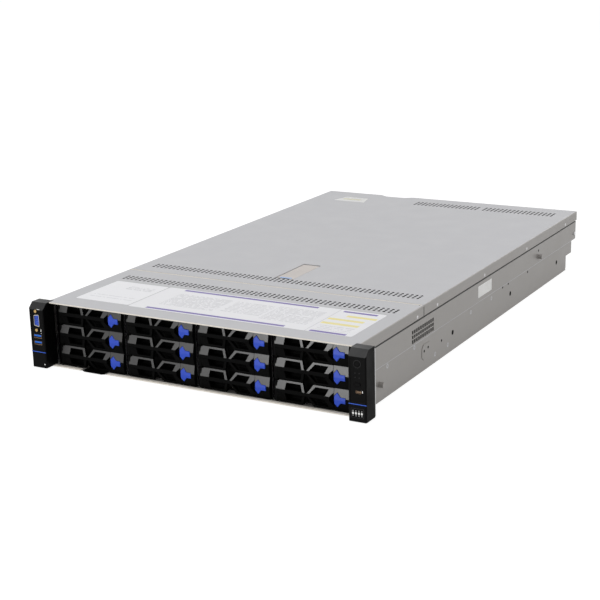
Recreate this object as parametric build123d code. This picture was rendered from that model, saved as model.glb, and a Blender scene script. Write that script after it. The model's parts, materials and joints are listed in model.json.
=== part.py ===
"""A 2U rack server with hot-swap drive carriers, built as separate pieces.

Millimetres. X runs to the right seen from the front, Y to the back and Z up.
Lengths are laid out from the plane where the rack posts meet the ears, and every piece is moved
at the end so that the origin is under the middle of the whole server.
"""

from build123d import *
import os
from math import cos, pi, radians, sin

os.makedirs("parts", exist_ok=True)

# Overall sizes
BODY_W = 447.0
BODY_H = 86.0
BODY_D = 780.0
EAR_SPAN = 482.6
FRONT_REACH = 10.0

# Sheet metal
SHEET = 1.0
WALL = 1.2
FLANGE_H = 14.0
FLANGE_GAP = 0.7
FLANGE_SHADOW = 1.0
RAIL_BAND_H = 42.0
RAIL_BAND_SET = 0.8
BAND_SLOPE = 0.8
LIP = 7.0
CLEAR = 0.3

# Top panels
SEAM_Y = 183.5
SEAM_GAP = 0.6
VENT_FRONT_Y = 149.0
VENT_REAR_Y = 218.5
VENT_SPAN = 407.0
VENT_DEPTH = 11.0
VENT_PITCH = 27.0
VENT_SLOT = 20.0
VENT_LEAN = 3.5
EXHAUST_BACK = 40.0
EXHAUST_DEPTH = 12.0
EXHAUST_PITCH = 20.0
EXHAUST_SLOT = 13.0
EXHAUST_X = ((-52.0, 75.0), (80.0, 201.0))
REAR_NOTCH_X = (-123.0, -65.0)
REAR_NOTCH_D = 8.0
REAR_NOTCH_SLOPE = 12.0
REAR_HEM_H = 8.0

# Cover slide and hooks
COVER_TRAVEL = 15.0
HOOK_Y = (225.0, 385.0, 550.0)
HOOK_BACK = 56.0
HOOK_LEN = 4.0
HOOK_H = 2.5
HOOK_REACH = 2.6
HOOK_Z = 75.2

# Cover latch
LATCH_W = 27.0
LATCH_Y = (222.0, 305.0)
PAN_DEPTH = 9.0
PAN_SHEET = 0.8
HANDLE_T = 1.5
HANDLE_SINK = 0.4
HANDLE_GAP = 1.0
PIVOT_BACK = 6.0
PIVOT_DROP = 5.0
PIVOT_R = 1.5
RUNNING = 0.05
TAIL = 3.4
LUG_R = 3.2
LUG_W = 4.0
FORK_W = 6.0
FORK_WALL = 2.0
FORK_SLACK = 0.9
KEEPER_R = 2.0
KEEPER_GAP = 2.0
KEEPER_PLATE = 2.0
FINGER_GAP = 5.0

# Drive bays
COLUMNS = 4
ROWS = 3
BAY_SIDE = 10.5
DIVIDER = 1.0
DIVIDER_FRONT = 7.0
BAY_DEPTH = 178.0
RAIL_SIDE_GAP = 0.55
ROW_GAP = 0.3
BAY_FLOOR_GAP = 0.6
RAIL_T = 1.4
RAIL_END = 172.0
RAIL_DROP = 12.0
RAIL_RISE = 10.0
RUNNER_T = 1.0
RUNNER_BITE = 1.0
DRIVE_Y = 20.5
DRIVE_L = 147.0
DRIVE_H = 26.1

# Carrier front, with places measured from its left end
BEZEL_SIDE_GAP = 1.3
RIDGE_Y = 4.2
EDGE_Y = 6.0
BAND_Y = 5.0
BAND_H = 4.8
PLATE_BACK = 9.5
FRAME_Y = 15.0
FRAME_T = 3.0
SEAM_U = 81.3
SEAM_CLEAR = 0.4
LEVER_TRIM = 0.3
WIN_RAIL = 2.7
WIN1 = (18.1, 16.4, 37.3, 39.7)
NOTCH = (39.7, 43.2, 55.4, 46.1)
WIN2 = (57.2, 49.4, 74.6, 70.0)
TIP_CUT = 6.0
TIP_CUT_Z = 8.0
HINGE_U = 4.2
HINGE_Y = 8.5
HINGE_R = 1.0
BORE_SIDES = 8
LEVER_EYE = 4.0
LUG_T = 1.0
MESH_U = (13.0, 78.0)
MESH_MARGIN = 2.6
END_TAPER = 1.4

# Release button
BUTTON_U = (82.2, 86.2, 90.4, 96.8)
BUTTON_SHOULDER = 4.6
BUTTON_POINT = 8.8
BUTTON_TAIL = 3.5
BUTTON_FRONT = 3.9
BUTTON_CREASE = 0.7
BUTTON_BACK = 12.2
BUTTON_GAP = 0.4

# Rack ears
EAR_W = 22.9
EAR_REACH = 14.0
EAR_FOOT = 0.4
EAR_CHAMFER = 8.0
EAR_EDGE = 1.2
EAR_PLATE = 1.5
EAR_LEG = 48.0
PANEL_MARGIN = 2.6
PANEL_DEPTH = 0.5
PANEL_TOP = 76.0
RACK_HOLE_INSET = 8.75
RACK_HOLE_Z = 43.0
RACK_HOLE_R = 3.4
RACK_HOLE_DEPTH = 9.0
LINE_Z = 21.5
LINE_H = 1.0
VGA_Z = 63.5
VGA_W = 16.6
VGA_H = 8.4
VGA_DEPTH = 6.0
SCREW_SPACING = 25.0
JACK_R = 2.2
JACK_PROUD = 1.2
USB_Z = (33.4, 42.2)
USB_W = 12.6
USB_H = 5.2
USB_DEPTH = 12.0
POWER_Z = 69.5
CAP_SIDES = 24
POWER_R = 3.8
ID_Z = 45.0
ID_W = 8.0
ID_H = 4.2
OVAL_CUT = 0.6
SWITCH_GAP = 0.3
SWITCH_L = 7.0
SWITCH_PROUD = 0.4
SWITCH_TRAVEL = 1.0
MICRO_Z = 36.2
MICRO_W = 7.0
MICRO_H = 3.0

# Service tag
TAG_X = -153.0
TAG_W = 34.0
TAG_L = 62.0
TAG_REACH = 12.0
TAG_WING = 3.0
TAG_WING_T = 0.4

# Side wall features
GRID_Y = 147.0
GRID_Z = 45.0
GRID_PITCH = 6.1
GRID_HOLE = 4.4
GRID_COLS = 11
GRID_H = 17.0
STUD_R = 3.5
STUD_H = 6.0
STUD_Z = 21.4
STUD_Y = 58.0
REAR_STUD_Y = 602.0
REAR_STUD_Z = 52.0
DIMPLE_Y = (178.0, 206.0)
DIMPLE_Z = (14.0, 34.0)
DIMPLE_T = 0.6

# Rear end
REAR_SET = 6.0
WALL_SET = 4.0
STEP1_SET = 21.0
STEP1_Z = 43.0
STEP2_SET = 47.0
STEP2_Z = 23.0
STEP_R = 6.0
SHELF_Z = 42.4
LOW_REAR_SET = 48.0

# Backplane
BOARD_T = 1.6
BACKPLANE_Z = (4.0, 82.0)
SOCKET_W = 44.0
SOCKET_H = 7.0
BREATHER_RISE = 11.0
BREATHER_H = 9.0

# Fans
FAN_N = 4
FAN_SIZE = 80.0
FAN_PITCH = 83.0
FAN_Y = 322.0
FAN_DEPTH = 38.0
FAN_BORE = 37.5
FAN_FLOOR = 1.0
TIP_GAP = 1.5
HUB_R = 16.0
BLADES = 5
BORE_FLATS = 16
BLADE_T = 1.6
BLADE_PITCH = 35.0
SHAFT_R = 2.0
STRUT_W = 4.0
STRUT_T = 4.0

# Mainboard and what it carries
PCB_X = (-138.0, 216.0)
PCB_L = 353.5
STANDOFF_H = 6.0
STANDOFF_R = 3.0
CPU_X = (-50.0, 130.0)
CPU_BACK = 90.0
SINK_W = 88.0
SINK_L = 92.0
SINK_H = 58.0
SINK_BASE = 6.0
FIN_N = 11
FIN_T = 1.6
SOCKET_T = 6.0
DIMM_L = 133.35
DIMM_H = 31.0
DIMM_T = 1.27
DIMM_PITCH = 7.6
DIMM_PER_SIDE = 4
DIMM_OFFSET = 49.0
SLOT_T = 6.0
SLOT_H = 7.0

# Rear ports: centre across, width, height
PORTS = {
    "vga": (-118.0, 17.0, 9.0),
    "usb_a": (-88.0, 13.4, 6.2),
    "usb_b": (-68.0, 13.4, 6.2),
    "lan_a": (-42.0, 13.0, 10.0),
    "lan_b": (-24.0, 13.0, 10.0),
    "service": (0.0, 13.0, 10.0),
}
PORT_WALL = 1.2
PORT_DEPTH = 16.0
PORT_CAVITY = 12.0
LOW_GRILLE = (30.0, 210.0)
GRILLE_PITCH = 22.0
GRILLE_SLOT = 17.0

# Riser cages
RISER_X = ((-138.0, -2.0), (40.0, 216.0))
RISER_L = 172.8
RISER_SLOT_L = 90.0
RISER_SLOT_H = 9.0
RISER_LEAD = 10.0
RISER_TOP = 83.6
SLOT_N = 2
SLOT_PITCH = 19.0
SLOT_OPEN = 12.5
SLOT_SPAN = 112.0
COVER_BORDER = 2.0

# Power supplies
PSU_W = 73.5
PSU_H = 40.0
PSU_L = 185.0
PSU_SHELF = 0.7
INLET_W = 27.0
INLET_H = 20.0
INLET_DEPTH = 14.0
GRIP_REACH = 22.0
GRIP_W = 5.0
GRIP_SPAN = 30.0
PSU_LATCH_L = 46.0
PSU_LATCH_T = 1.2
PSU_LATCH_H = 12.0
PSU_LATCH_TAB = 12.0
PSU_LATCH_POCKET = 5.6
PSU_LATCH_R = 1.2


def at(depth):
    """The Y of a place measured back from the front edge of the top."""
    return depth - FRONT_REACH


half = BODY_W / 2
front = at(0.0)
rear = at(BODY_D)
slot_wall_y = rear - REAR_SET
wall_end = rear - WALL_SET
port_wall_y = rear - LOW_REAR_SET
sheet_z = BODY_H - SHEET
flange_z = BODY_H - FLANGE_H
skirt_x = half - SHEET
hook_places = [at(y) for y in HOOK_Y] + [rear - HOOK_BACK]
inset_x = skirt_x - FLANGE_GAP
band_x = half - RAIL_BAND_SET
inner_x = band_x - WALL

col_pitch = (BODY_W - 2 * BAY_SIDE) / COLUMNS
row_pitch = (sheet_z - SHEET - 2 * BAY_FLOOR_GAP + ROW_GAP) / ROWS
bezel_w = col_pitch - DIVIDER - 2 * BEZEL_SIDE_GAP
bezel_h = row_pitch - ROW_GAP
tray_w = col_pitch - DIVIDER - 2 * RAIL_SIDE_GAP
drive_w = tray_w - 2 * RAIL_T
psu_x0 = CLEAR + HOOK_REACH - skirt_x
psu_x1 = psu_x0 + PSU_W
psu_bay_right = psu_x1 + CLEAR + WALL
psu_y1 = slot_wall_y
frame_y = at(FRAME_Y)
ear_outer = EAR_SPAN / 2
ear_inner = ear_outer - EAR_W
ear_middle = ear_outer - EAR_W / 2
ear_front = front - EAR_REACH
middle_y = (ear_front - JACK_PROUD + psu_y1 + GRIP_REACH) / 2


def block(x0, x1, y0, y1, z0, z1):
    """A box between two corners."""
    centre = ((x0 + x1) / 2, (y0 + y1) / 2, (z0 + z1) / 2)
    return Pos(*centre) * Box(abs(x1 - x0), abs(y1 - y0), abs(z1 - z0))


def prism_y(points, y0, y1):
    """An outline of (x, z) points carried along Y."""
    outline = Polyline(*[(x, y0, z) for x, z in points], close=True)
    return extrude(make_face(outline), amount=y1 - y0, dir=(0, 1, 0))


def prism_x(points, x0, x1):
    """An outline of (y, z) points carried along X."""
    outline = Polyline(*[(x0, y, z) for y, z in points], close=True)
    return extrude(make_face(outline), amount=x1 - x0, dir=(1, 0, 0))


def prism_z(points, z0, z1):
    """An outline of (x, y) points carried along Z."""
    outline = Polyline(*[(x, y, z0) for x, y in points], close=True)
    return extrude(make_face(outline), amount=z1 - z0, dir=(0, 0, 1))


def rod_x(y, z, radius, x0, x1):
    """A round bar along X."""
    return Pos((x0 + x1) / 2, y, z) * Rot(0, 90, 0) * Cylinder(radius, abs(x1 - x0))


def rod_y(x, z, radius, y0, y1):
    """A round bar along Y."""
    return Pos(x, (y0 + y1) / 2, z) * Rot(90, 0, 0) * Cylinder(radius, abs(y1 - y0))


def rod_z(x, y, radius, z0, z1):
    """A round bar along Z."""
    return Pos(x, y, (z0 + z1) / 2) * Cylinder(radius, abs(z1 - z0))


def polygon_z(x, y, radius, sides, z0, z1):
    """An upright bar with flat sides."""
    turns = [2 * pi * (k + 0.5) / sides for k in range(sides)]
    return prism_z([(x + radius * cos(t), y + radius * sin(t)) for t in turns], z0, z1)


def polygon_x(y, z, radius, sides, x0, x1):
    """A bar with flat sides along X."""
    turns = [2 * pi * (k + 0.5) / sides for k in range(sides)]
    return prism_x([(y + radius * cos(t), z + radius * sin(t)) for t in turns], min(x0, x1), max(x0, x1))


def polygon_y(x, z, radius, sides, y0, y1):
    """A bar with flat sides along Y."""
    turns = [2 * pi * k / sides for k in range(sides)]
    return prism_y([(x + radius * sin(t), z + radius * cos(t)) for t in turns], y0, y1)


def join(first, others):
    """One solid from a piece and a list of pieces that touch or enter it."""
    return first.fuse(*others) if others else first


def cut(piece, tools):
    """A piece less a list of pieces."""
    return piece.cut(*tools) if tools else piece


def save(name, *solids):
    """Writes one node, with each piece as its own solid."""
    flat = [Pos(0, -middle_y, 0) * s for piece in solids for s in piece.solids()]
    export_step(Compound(children=flat) if len(flat) > 1 else flat[0], f"parts/{name}.step")


def steps(low, high, pitch):
    """Centres of a pattern that fills a span as evenly as its pitch allows."""
    count = max(1, int((high - low) / pitch))
    start = (low + high) / 2 - (count - 1) * pitch / 2
    return [start + i * pitch for i in range(count)]


def col_x(column):
    """Centre of a column of carriers."""
    return (column - (COLUMNS - 1) / 2) * col_pitch


def row_z(row):
    """Centre of a row of carriers, counted from the bottom."""
    return SHEET + BAY_FLOOR_GAP + bezel_h / 2 + row * row_pitch


# Chassis base

def side_silhouette(side):
    """The side wall seen from the side, with its stepped rear end, as a slab across the wall."""
    if side > 0:
        points = [
            (0, 0), ((rear - STEP2_SET), 0), ((rear - STEP2_SET), STEP2_Z), ((rear - STEP1_SET), STEP2_Z),
            ((rear - STEP1_SET), STEP1_Z), (wall_end, STEP1_Z), (wall_end, sheet_z), (0, sheet_z),
        ]
    else:
        points = [(0, 0), (wall_end, 0), (wall_end, sheet_z), (0, sheet_z)]
    outline = make_face(Polyline(*[(0, y, z) for y, z in points], close=True))
    corner = outline.vertices().filter_by_position(Axis.Z, -0.1, 0.1).sort_by(Axis.Y)[-1]
    slab = extrude(fillet(corner, STEP_R), amount=half, dir=(side, 0, 0))
    return slab


def side_wall(side):
    """A wall of one sheet: rail band, upper band, the step behind the cover's flange, and a lip."""
    shoulder = flange_z - FLANGE_SHADOW
    low, high = RAIL_BAND_H - BAND_SLOPE / 2, RAIL_BAND_H + BAND_SLOPE / 2
    points = [
        (band_x, 0), (band_x, low), (half, high), (half, shoulder), (inset_x, shoulder),
        (inset_x, sheet_z), (inset_x - LIP, sheet_z), (inset_x - LIP, sheet_z - SHEET),
        (inset_x - WALL, sheet_z - SHEET), (inset_x - WALL, shoulder - WALL),
        (half - WALL, shoulder - WALL), (half - WALL, high), (inner_x, low), (inner_x, 0),
    ]
    profile = prism_y([(side * x, z) for x, z in points], 0, wall_end)
    return profile & side_silhouette(side)


def hook_slots(side):
    """L-shaped slots that the cover's hooks drop into and slide along."""
    tools = []
    x0, x1 = side * (inset_x - WALL - 1), side * (inset_x + FLANGE_GAP / 2)
    tall = HOOK_LEN / 2 + CLEAR
    for y in hook_places:
        y0, y1 = y - tall, y + COVER_TRAVEL + tall
        z0 = HOOK_Z - HOOK_H / 2 - CLEAR
        tools.append(block(x0, x1, y0, y1, z0, z0 + HOOK_H + 2 * CLEAR))
        tools.append(block(x0, x1, y1 - 2 * tall, y1, z0, BODY_H))
    return tools


def vent_grid(side):
    """The block of vents in the upper band of the wall."""
    tools = []
    for i in range(GRID_COLS):
        y = at(GRID_Y) + (i + 0.5) * GRID_PITCH
        r = GRID_HOLE / 2
        tools.append(block(side * (half - 2 * WALL), side * (half + 1), y - r, y + r, GRID_Z, GRID_Z + GRID_H))
    return tools


def wall_fittings(side):
    """The stiffening dimple in the wall, and the rail studs that are riveted to it."""
    stud = rod_x(at(STUD_Y), STUD_Z, STUD_R, side * band_x, side * (band_x + STUD_H))
    rear_stud = rod_x(at(REAR_STUD_Y), REAR_STUD_Z, STUD_R, side * half, side * (half + STUD_H))
    y0, y1 = [at(y) for y in DIMPLE_Y]
    dimple = block(side * (band_x - WALL / 2), side * (band_x + DIMPLE_T), y0, y1, *DIMPLE_Z)
    corners = dimple.edges().filter_by(Axis.X)
    return chamfer(corners, (y1 - y0) / 6), [stud, rear_stud]


def rear_walls():
    """Rear sheets: the upper slot wall, the shelf, the port wall below it, and the supply bay's two."""
    right = inset_x - WALL
    left = psu_bay_right
    shelf_top = SHELF_Z + WALL
    divide_top = psu_z(1) - CLEAR
    tools = rear_openings()
    return [
        cut(block(left, right, slot_wall_y - WALL, slot_wall_y, shelf_top, sheet_z), tools),
        block(left, right, port_wall_y - WALL, slot_wall_y, SHELF_Z, shelf_top),
        cut(block(left, right, port_wall_y - WALL, port_wall_y, SHEET, SHELF_Z), tools),
        block(left - WALL, left, slot_wall_y - PSU_L - 5, slot_wall_y, SHEET, sheet_z),
        block(-inner_x, left - WALL, slot_wall_y - PSU_L, slot_wall_y, divide_top - PSU_SHELF, divide_top),
    ]


def rear_openings():
    """Card slots in the upper wall, port cut-outs and vents in the lower one."""
    tools = []
    for x0, x1 in RISER_X:
        for i in range(SLOT_N):
            x = (x0 + x1) / 2
            z = slot_z(i)
            tools.append(block(x - SLOT_SPAN / 2, x + SLOT_SPAN / 2, slot_wall_y - 2, slot_wall_y + 1,
                               z - SLOT_OPEN / 2, z + SLOT_OPEN / 2))
    for x, w, h in PORTS.values():
        r = w / 2 + PORT_WALL + CLEAR
        tools.append(block(x - r, x + r, port_wall_y - 2, port_wall_y + 1,
                           pcb_top - CLEAR, pcb_top + h + 2 * PORT_WALL))
    for x in steps(*LOW_GRILLE, GRILLE_PITCH):
        r = GRILLE_SLOT / 2
        tools.append(block(x - r, x + r, port_wall_y - 2, port_wall_y + 1, pcb_top + 4, SHELF_Z - 4))
    return tools


def slot_z(i):
    """Height of a card slot."""
    return SHELF_Z + WALL + 2 + SLOT_PITCH * (i + 0.5)


def psu_z(i):
    """Underside of a power supply."""
    return SHEET + CLEAR + i * (PSU_H + PSU_SHELF + 2 * CLEAR)


board_rear = port_wall_y - WALL - 2 * CLEAR
board_front = board_rear - PCB_L
cpu_y = board_front + CPU_BACK
pcb_z = SHEET + STANDOFF_H
pcb_top = pcb_z + BOARD_T


def chassis_base():
    """The folded tray of floor and walls, then the rear sheets and the studs fixed to it."""
    floor = block(-band_x, band_x, front, rear - STEP2_SET, 0, SHEET)
    bay_floor = block(-band_x, psu_bay_right, rear - STEP2_SET, slot_wall_y, 0, SHEET)
    for_ears = [block(s * band_x, s * (ear_inner - CLEAR), front, 0, -1, SHEET + 1) for s in (-1, 1)]
    floor = cut(floor, for_ears + [block(*tag_slot(), -1, SHEET + 1)])
    parts, studs = [bay_floor], []
    for side in (-1, 1):
        dimple, pair = wall_fittings(side)
        parts += [cut(side_wall(side), hook_slots(side) + vent_grid(side)), dimple]
        studs += pair
    return [join(floor, parts), *rear_walls(), *studs]


def tag_slot():
    """The notch in the floor's front edge that the service tag runs in."""
    r = TAG_W / 2 + CLEAR
    return TAG_X - r, TAG_X + r, front - 1, front + TAG_L


# Top panels

def skirted_sheet(y0, y1):
    """A sheet with a flange turned down along each side, behind the ears."""
    sheet = block(-half, half, y0, y1, sheet_z, BODY_H)
    flanges = []
    for side in (-1, 1):
        flanges.append(block(side * skirt_x, side * half, max(y0, 0), y1, flange_z, BODY_H))
    return join(sheet, flanges)


def slanted_slots(x0, x1, y, depth, pitch, width, lean):
    """A row of leaning slots through the top sheet."""
    tools = []
    for x in steps(x0, x1, pitch):
        points = [
            (x - width / 2 - lean / 2, y - depth / 2), (x + width / 2 - lean / 2, y - depth / 2),
            (x + width / 2 + lean / 2, y + depth / 2), (x - width / 2 + lean / 2, y + depth / 2),
        ]
        tools.append(prism_z(points, sheet_z - 1, BODY_H + 1))
    return tools


def front_top_panel():
    """The fixed panel over the drive bays."""
    panel = skirted_sheet(front, at(SEAM_Y))
    ears = [block(s * (ear_inner - CLEAR), s * (half + 1), front - 1, 0, 0, BODY_H + 1) for s in (-1, 1)]
    vents = slanted_slots(-VENT_SPAN / 2, VENT_SPAN / 2, at(VENT_FRONT_Y), VENT_DEPTH, VENT_PITCH, VENT_SLOT, VENT_LEAN)
    return cut(panel, ears + vents)


def latch_pan():
    """The tray under the latch handle, open at the top, with a slot for the fork."""
    r = LATCH_W / 2
    y0, y1 = [at(y) for y in LATCH_Y]
    floor_z = sheet_z - PAN_DEPTH
    outer = block(-r - PAN_SHEET, r + PAN_SHEET, y0 - PAN_SHEET, y1 + PAN_SHEET, floor_z, sheet_z + SHEET / 2)
    inner = block(-r, r, y0, y1, floor_z + PAN_SHEET, BODY_H + 1)
    fork = block(-FORK_W / 2 - 1, FORK_W / 2 + 1, pivot_y - 14, y1 + 2, floor_z - 1, sheet_z - 2)
    return cut(outer, [inner, fork])


def top_cover():
    """The sliding cover, with its hooks, vents, latch pan and the pin that the handle turns on."""
    cover = skirted_sheet(at(SEAM_Y + SEAM_GAP), rear)
    y0, y1 = [at(y) for y in LATCH_Y]
    x0, x1 = REAR_NOTCH_X
    slope = REAR_NOTCH_SLOPE
    notch = [(x0, rear + 1), (x0 + slope, rear - REAR_NOTCH_D), (x1 - slope, rear - REAR_NOTCH_D), (x1, rear + 1)]
    tools = [block(-LATCH_W / 2, LATCH_W / 2, y0, y1, sheet_z - 1, BODY_H + 1), prism_z(notch, sheet_z - 1, BODY_H + 1)]
    span = VENT_SPAN / 2
    gap = LATCH_W / 2 + 2
    for x0, x1 in ((-span, -gap), (gap, span)):
        tools += slanted_slots(x0, x1, at(VENT_REAR_Y), VENT_DEPTH, VENT_PITCH, VENT_SLOT, VENT_LEAN)
    for x0, x1 in EXHAUST_X:
        tools += slanted_slots(x0, x1, rear - EXHAUST_BACK, EXHAUST_DEPTH, EXHAUST_PITCH, EXHAUST_SLOT, 0)
    cover = cut(cover, tools)
    hem = block(REAR_NOTCH_X[1], inset_x - LIP, rear - SHEET, rear, sheet_z - REAR_HEM_H, BODY_H)
    hooks = []
    for side in (-1, 1):
        for y in hook_places:
            hooks.append(block(side * (skirt_x - HOOK_REACH), side * (skirt_x + SHEET / 2), y - HOOK_LEN / 2,
                               y + HOOK_LEN / 2, HOOK_Z - HOOK_H / 2, HOOK_Z + HOOK_H / 2))
    pin = rod_x(pivot_y, pivot_z, PIVOT_R, -LATCH_W / 2 - PAN_SHEET, LATCH_W / 2 + PAN_SHEET)
    return join(cover, [latch_pan(), hem, pin, *hooks])


# Cover latch

pivot_y = at(LATCH_Y[1] - PIVOT_BACK)
pivot_z = BODY_H - PIVOT_DROP
fork_arm = COVER_TRAVEL / 2
keeper_y = pivot_y + fork_arm
keeper_z = pivot_z - fork_arm


def cover_latch():
    """The handle: a flat plate, two lugs on the pin and a fork that reaches down to the keeper."""
    top = BODY_H - HANDLE_SINK
    r = LATCH_W / 2 - HANDLE_GAP
    y0 = at(LATCH_Y[0]) + FINGER_GAP
    plate = block(-r, r, y0, pivot_y + TAIL, top - HANDLE_T, top)
    slot = block(-r / 2, r / 2, y0 - 1, y0 + 3, top - HANDLE_T - 1, top + 1)
    lugs = []
    for side in (-1, 1):
        x0, x1 = side * (r - LUG_W), side * r
        lugs.append(polygon_x(pivot_y, pivot_z, LUG_R, 8, x0, x1))
        lugs.append(block(x0, x1, pivot_y - LUG_R, pivot_y + LUG_R, pivot_z, top - HANDLE_T / 2))
    bore = polygon_x(pivot_y, pivot_z, (PIVOT_R + RUNNING) / cos(pi / BORE_SIDES), BORE_SIDES, -LATCH_W, LATCH_W)
    free = polygon_x(pivot_y, pivot_z, PIVOT_R * 1.5, 8, -LATCH_W, LATCH_W)
    handle = join(cut(plate, [slot]), [cut(lug, [bore]) for lug in lugs])
    return join(handle, [cut(latch_fork(), [free])])


def latch_fork():
    """A forked arm that points down and back at rest, with its slot open at the end."""
    reach = fork_arm * 2**0.5
    end = reach + KEEPER_R
    inner = KEEPER_R + FORK_SLACK
    outer = inner + FORK_WALL
    base = fork_arm - KEEPER_R - CLEAR
    arm = block(-FORK_W / 2, FORK_W / 2, -outer, outer, -end, LUG_R)
    slot = block(-FORK_W, FORK_W, -inner, inner, -end - 1, -base)
    neck = block(-FORK_W / 2, FORK_W / 2, -LUG_R, LUG_R, 0, BODY_H - HANDLE_SINK - HANDLE_T / 2 - pivot_z)
    arm = Pos(0, pivot_y, pivot_z) * Rot(45, 0, 0) * cut(arm, [slot])
    above = block(-FORK_W, FORK_W, pivot_y - PAN_DEPTH, pivot_y + PAN_DEPTH, BODY_H - HANDLE_SINK, BODY_H + PAN_DEPTH)
    return cut(join(arm, [Pos(0, pivot_y, pivot_z) * neck]), [above])


# Drive bays

def divider_wall(i):
    """One upright between columns, with a runner for each row on each side that has a bay."""
    x = (i - COLUMNS / 2) * col_pitch
    wall = block(x - DIVIDER / 2, x + DIVIDER / 2, at(DIVIDER_FRONT), at(BAY_DEPTH), SHEET, sheet_z)
    runners = []
    reach = DIVIDER / 2 + RAIL_SIDE_GAP + RUNNER_BITE
    for side in (-1, 1):
        if 0 <= i + (side - 1) / 2 < COLUMNS:
            for row in range(ROWS):
                top = row_z(row) - RAIL_DROP - CLEAR
                low = max(top - RUNNER_T, SHEET)
                runners.append(block(x, x + side * reach, frame_y + FRAME_T, at(RAIL_END), low, top))
    return join(wall, runners)


def bezel_profile(x0, x1, trim=0.0):
    """A stretch of the carrier's front: two faces that lean back from a sunk band along the middle."""
    top = bezel_h / 2 - trim
    band = BAND_H / 2
    ridge, edge, groove, back = at(RIDGE_Y), at(EDGE_Y), at(BAND_Y), at(PLATE_BACK)
    points = [
        (back, top), (edge, top), (ridge, band), (groove, band), (groove, -band), (ridge, -band),
        (edge, -top), (back, -top),
    ]
    return prism_x(points, x0, x1)


def window(corners, z_low, z_high):
    """A four-sided hole, given its left and right places at the rail and at the band, and its mirror."""
    left_top, left_low, right_top, right_low = corners
    x = -bezel_w / 2
    shape = []
    for side in (1, -1):
        points = [(x + left_low, side * z_low), (x + left_top, side * z_high),
                  (x + right_top, side * z_high), (x + right_low, side * z_low)]
        shape.append(prism_y(points, front, at(FRAME_Y)))
    return shape


def carrier_lever():
    """The swinging front: crossed bars between a left plate, a middle band and a pointed right end."""
    left = -bezel_w / 2
    x_hinge = left + HINGE_U
    top = bezel_h / 2
    body = bezel_profile(x_hinge, left + SEAM_U, LEVER_TRIM)
    low, high = -top + LEVER_TRIM, top - LEVER_TRIM
    eye = polygon_z(x_hinge, at(HINGE_Y), LEVER_EYE, 8, low, high)
    heel = block(x_hinge - LEVER_EYE, x_hinge, at(HINGE_Y), at(HINGE_Y) + LEVER_EYE, low, high)
    eye = join(eye, [heel & rod_z(x_hinge, at(HINGE_Y), LEVER_EYE, low, high)])
    body = join(body, [eye])
    rail = top - WIN_RAIL
    band = BAND_H / 2
    tools = window(WIN1, band, rail) + window(WIN2, band, rail) + window(NOTCH, band, top + 1)
    for side in (-1, 1):
        tip = [(left + SEAM_U + 1, 0), (left + SEAM_U - TIP_CUT, 0), (left + SEAM_U - TIP_CUT, side * band),
               (left + SEAM_U, side * TIP_CUT_Z), (left + SEAM_U + 1, side * TIP_CUT_Z)]
        tools.append(prism_y(tip, front, at(FRAME_Y)))
        z0, z1 = side * (top - LUG_T - CLEAR), side * (top + 1)
        tools.append(block(left - 1, x_hinge + LEVER_EYE + CLEAR, front, at(FRAME_Y), z0, z1))
    bore = (HINGE_R + RUNNING) / cos(pi / BORE_SIDES)
    tools.append(polygon_z(x_hinge, at(HINGE_Y), bore, BORE_SIDES, -top - 1, top + 1))
    return cut(body, tools)


def button_outline(grow=0.0):
    """The release button seen from the front: a pointed head and a narrower tail."""
    x = -bezel_w / 2
    head, point, neck, end = BUTTON_U
    return [
        (x + head - grow, -BUTTON_SHOULDER - grow), (x + point, -BUTTON_POINT - grow * 1.4),
        (x + neck + grow, -BUTTON_TAIL - grow), (x + end + grow, -BUTTON_TAIL - grow),
        (x + end + grow, BUTTON_TAIL + grow), (x + neck + grow, BUTTON_TAIL + grow),
        (x + point, BUTTON_POINT + grow * 1.4), (x + head - grow, BUTTON_SHOULDER + grow),
    ]


def release_button():
    """The button: its front creased along the middle."""
    body = prism_y(button_outline(), at(BUTTON_FRONT), at(BUTTON_BACK))
    crease = BUTTON_CREASE
    low = at(BUTTON_FRONT)
    x0 = -bezel_w / 2 + BUTTON_U[0] - 1
    x1 = -bezel_w / 2 + BUTTON_U[3] + 1
    tools = []
    for side in (-1, 1):
        tools.append(prism_x([(low - 1, 0), (low, 0), (low + crease, side * BUTTON_POINT),
                              (low + crease, side * (BUTTON_POINT + 1)), (low - 1, side * (BUTTON_POINT + 1))], x0, x1))
    return cut(body, tools)


def carrier_frame():
    """The fixed part of a carrier: mesh frame, hinge lugs with the pin, the button's block, and rails."""
    left, right, top = -bezel_w / 2, bezel_w / 2, bezel_h / 2
    plate = block(left, right, frame_y, frame_y + FRAME_T, -top, top)
    mesh_top = top - MESH_MARGIN
    plate = cut(plate, [block(left + MESH_U[0], left + MESH_U[1], frame_y - 1, frame_y + FRAME_T + 1, -mesh_top, mesh_top)])
    end = bezel_profile(left + SEAM_U + SEAM_CLEAR, right)
    fill = block(left + SEAM_U + SEAM_CLEAR, right, at(PLATE_BACK) - 1, frame_y, -top, top)
    taper = [(right, at(RIDGE_Y) - 1), (right - END_TAPER, at(RIDGE_Y) - 1), (right, at(PLATE_BACK)), (right + 1, at(PLATE_BACK))]
    end = cut(join(end, [fill]), [prism_z(taper, -top - 1, top + 1), prism_y(button_outline(BUTTON_GAP), front, frame_y)])
    parts = [end]
    x = left + HINGE_U
    for side in (-1, 1):
        z0, z1 = side * (top - LUG_T), side * top
        parts.append(block(x - 2, x + 2, at(HINGE_Y) - 2, frame_y + 1, z0, z1))
        xr = side * tray_w / 2
        parts.append(block(xr, xr - side * RAIL_T, frame_y, at(RAIL_END), -RAIL_DROP, RAIL_RISE))
    parts.append(polygon_z(x, at(HINGE_Y), HINGE_R, BORE_SIDES, -top, top))
    return join(plate, parts)


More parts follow.
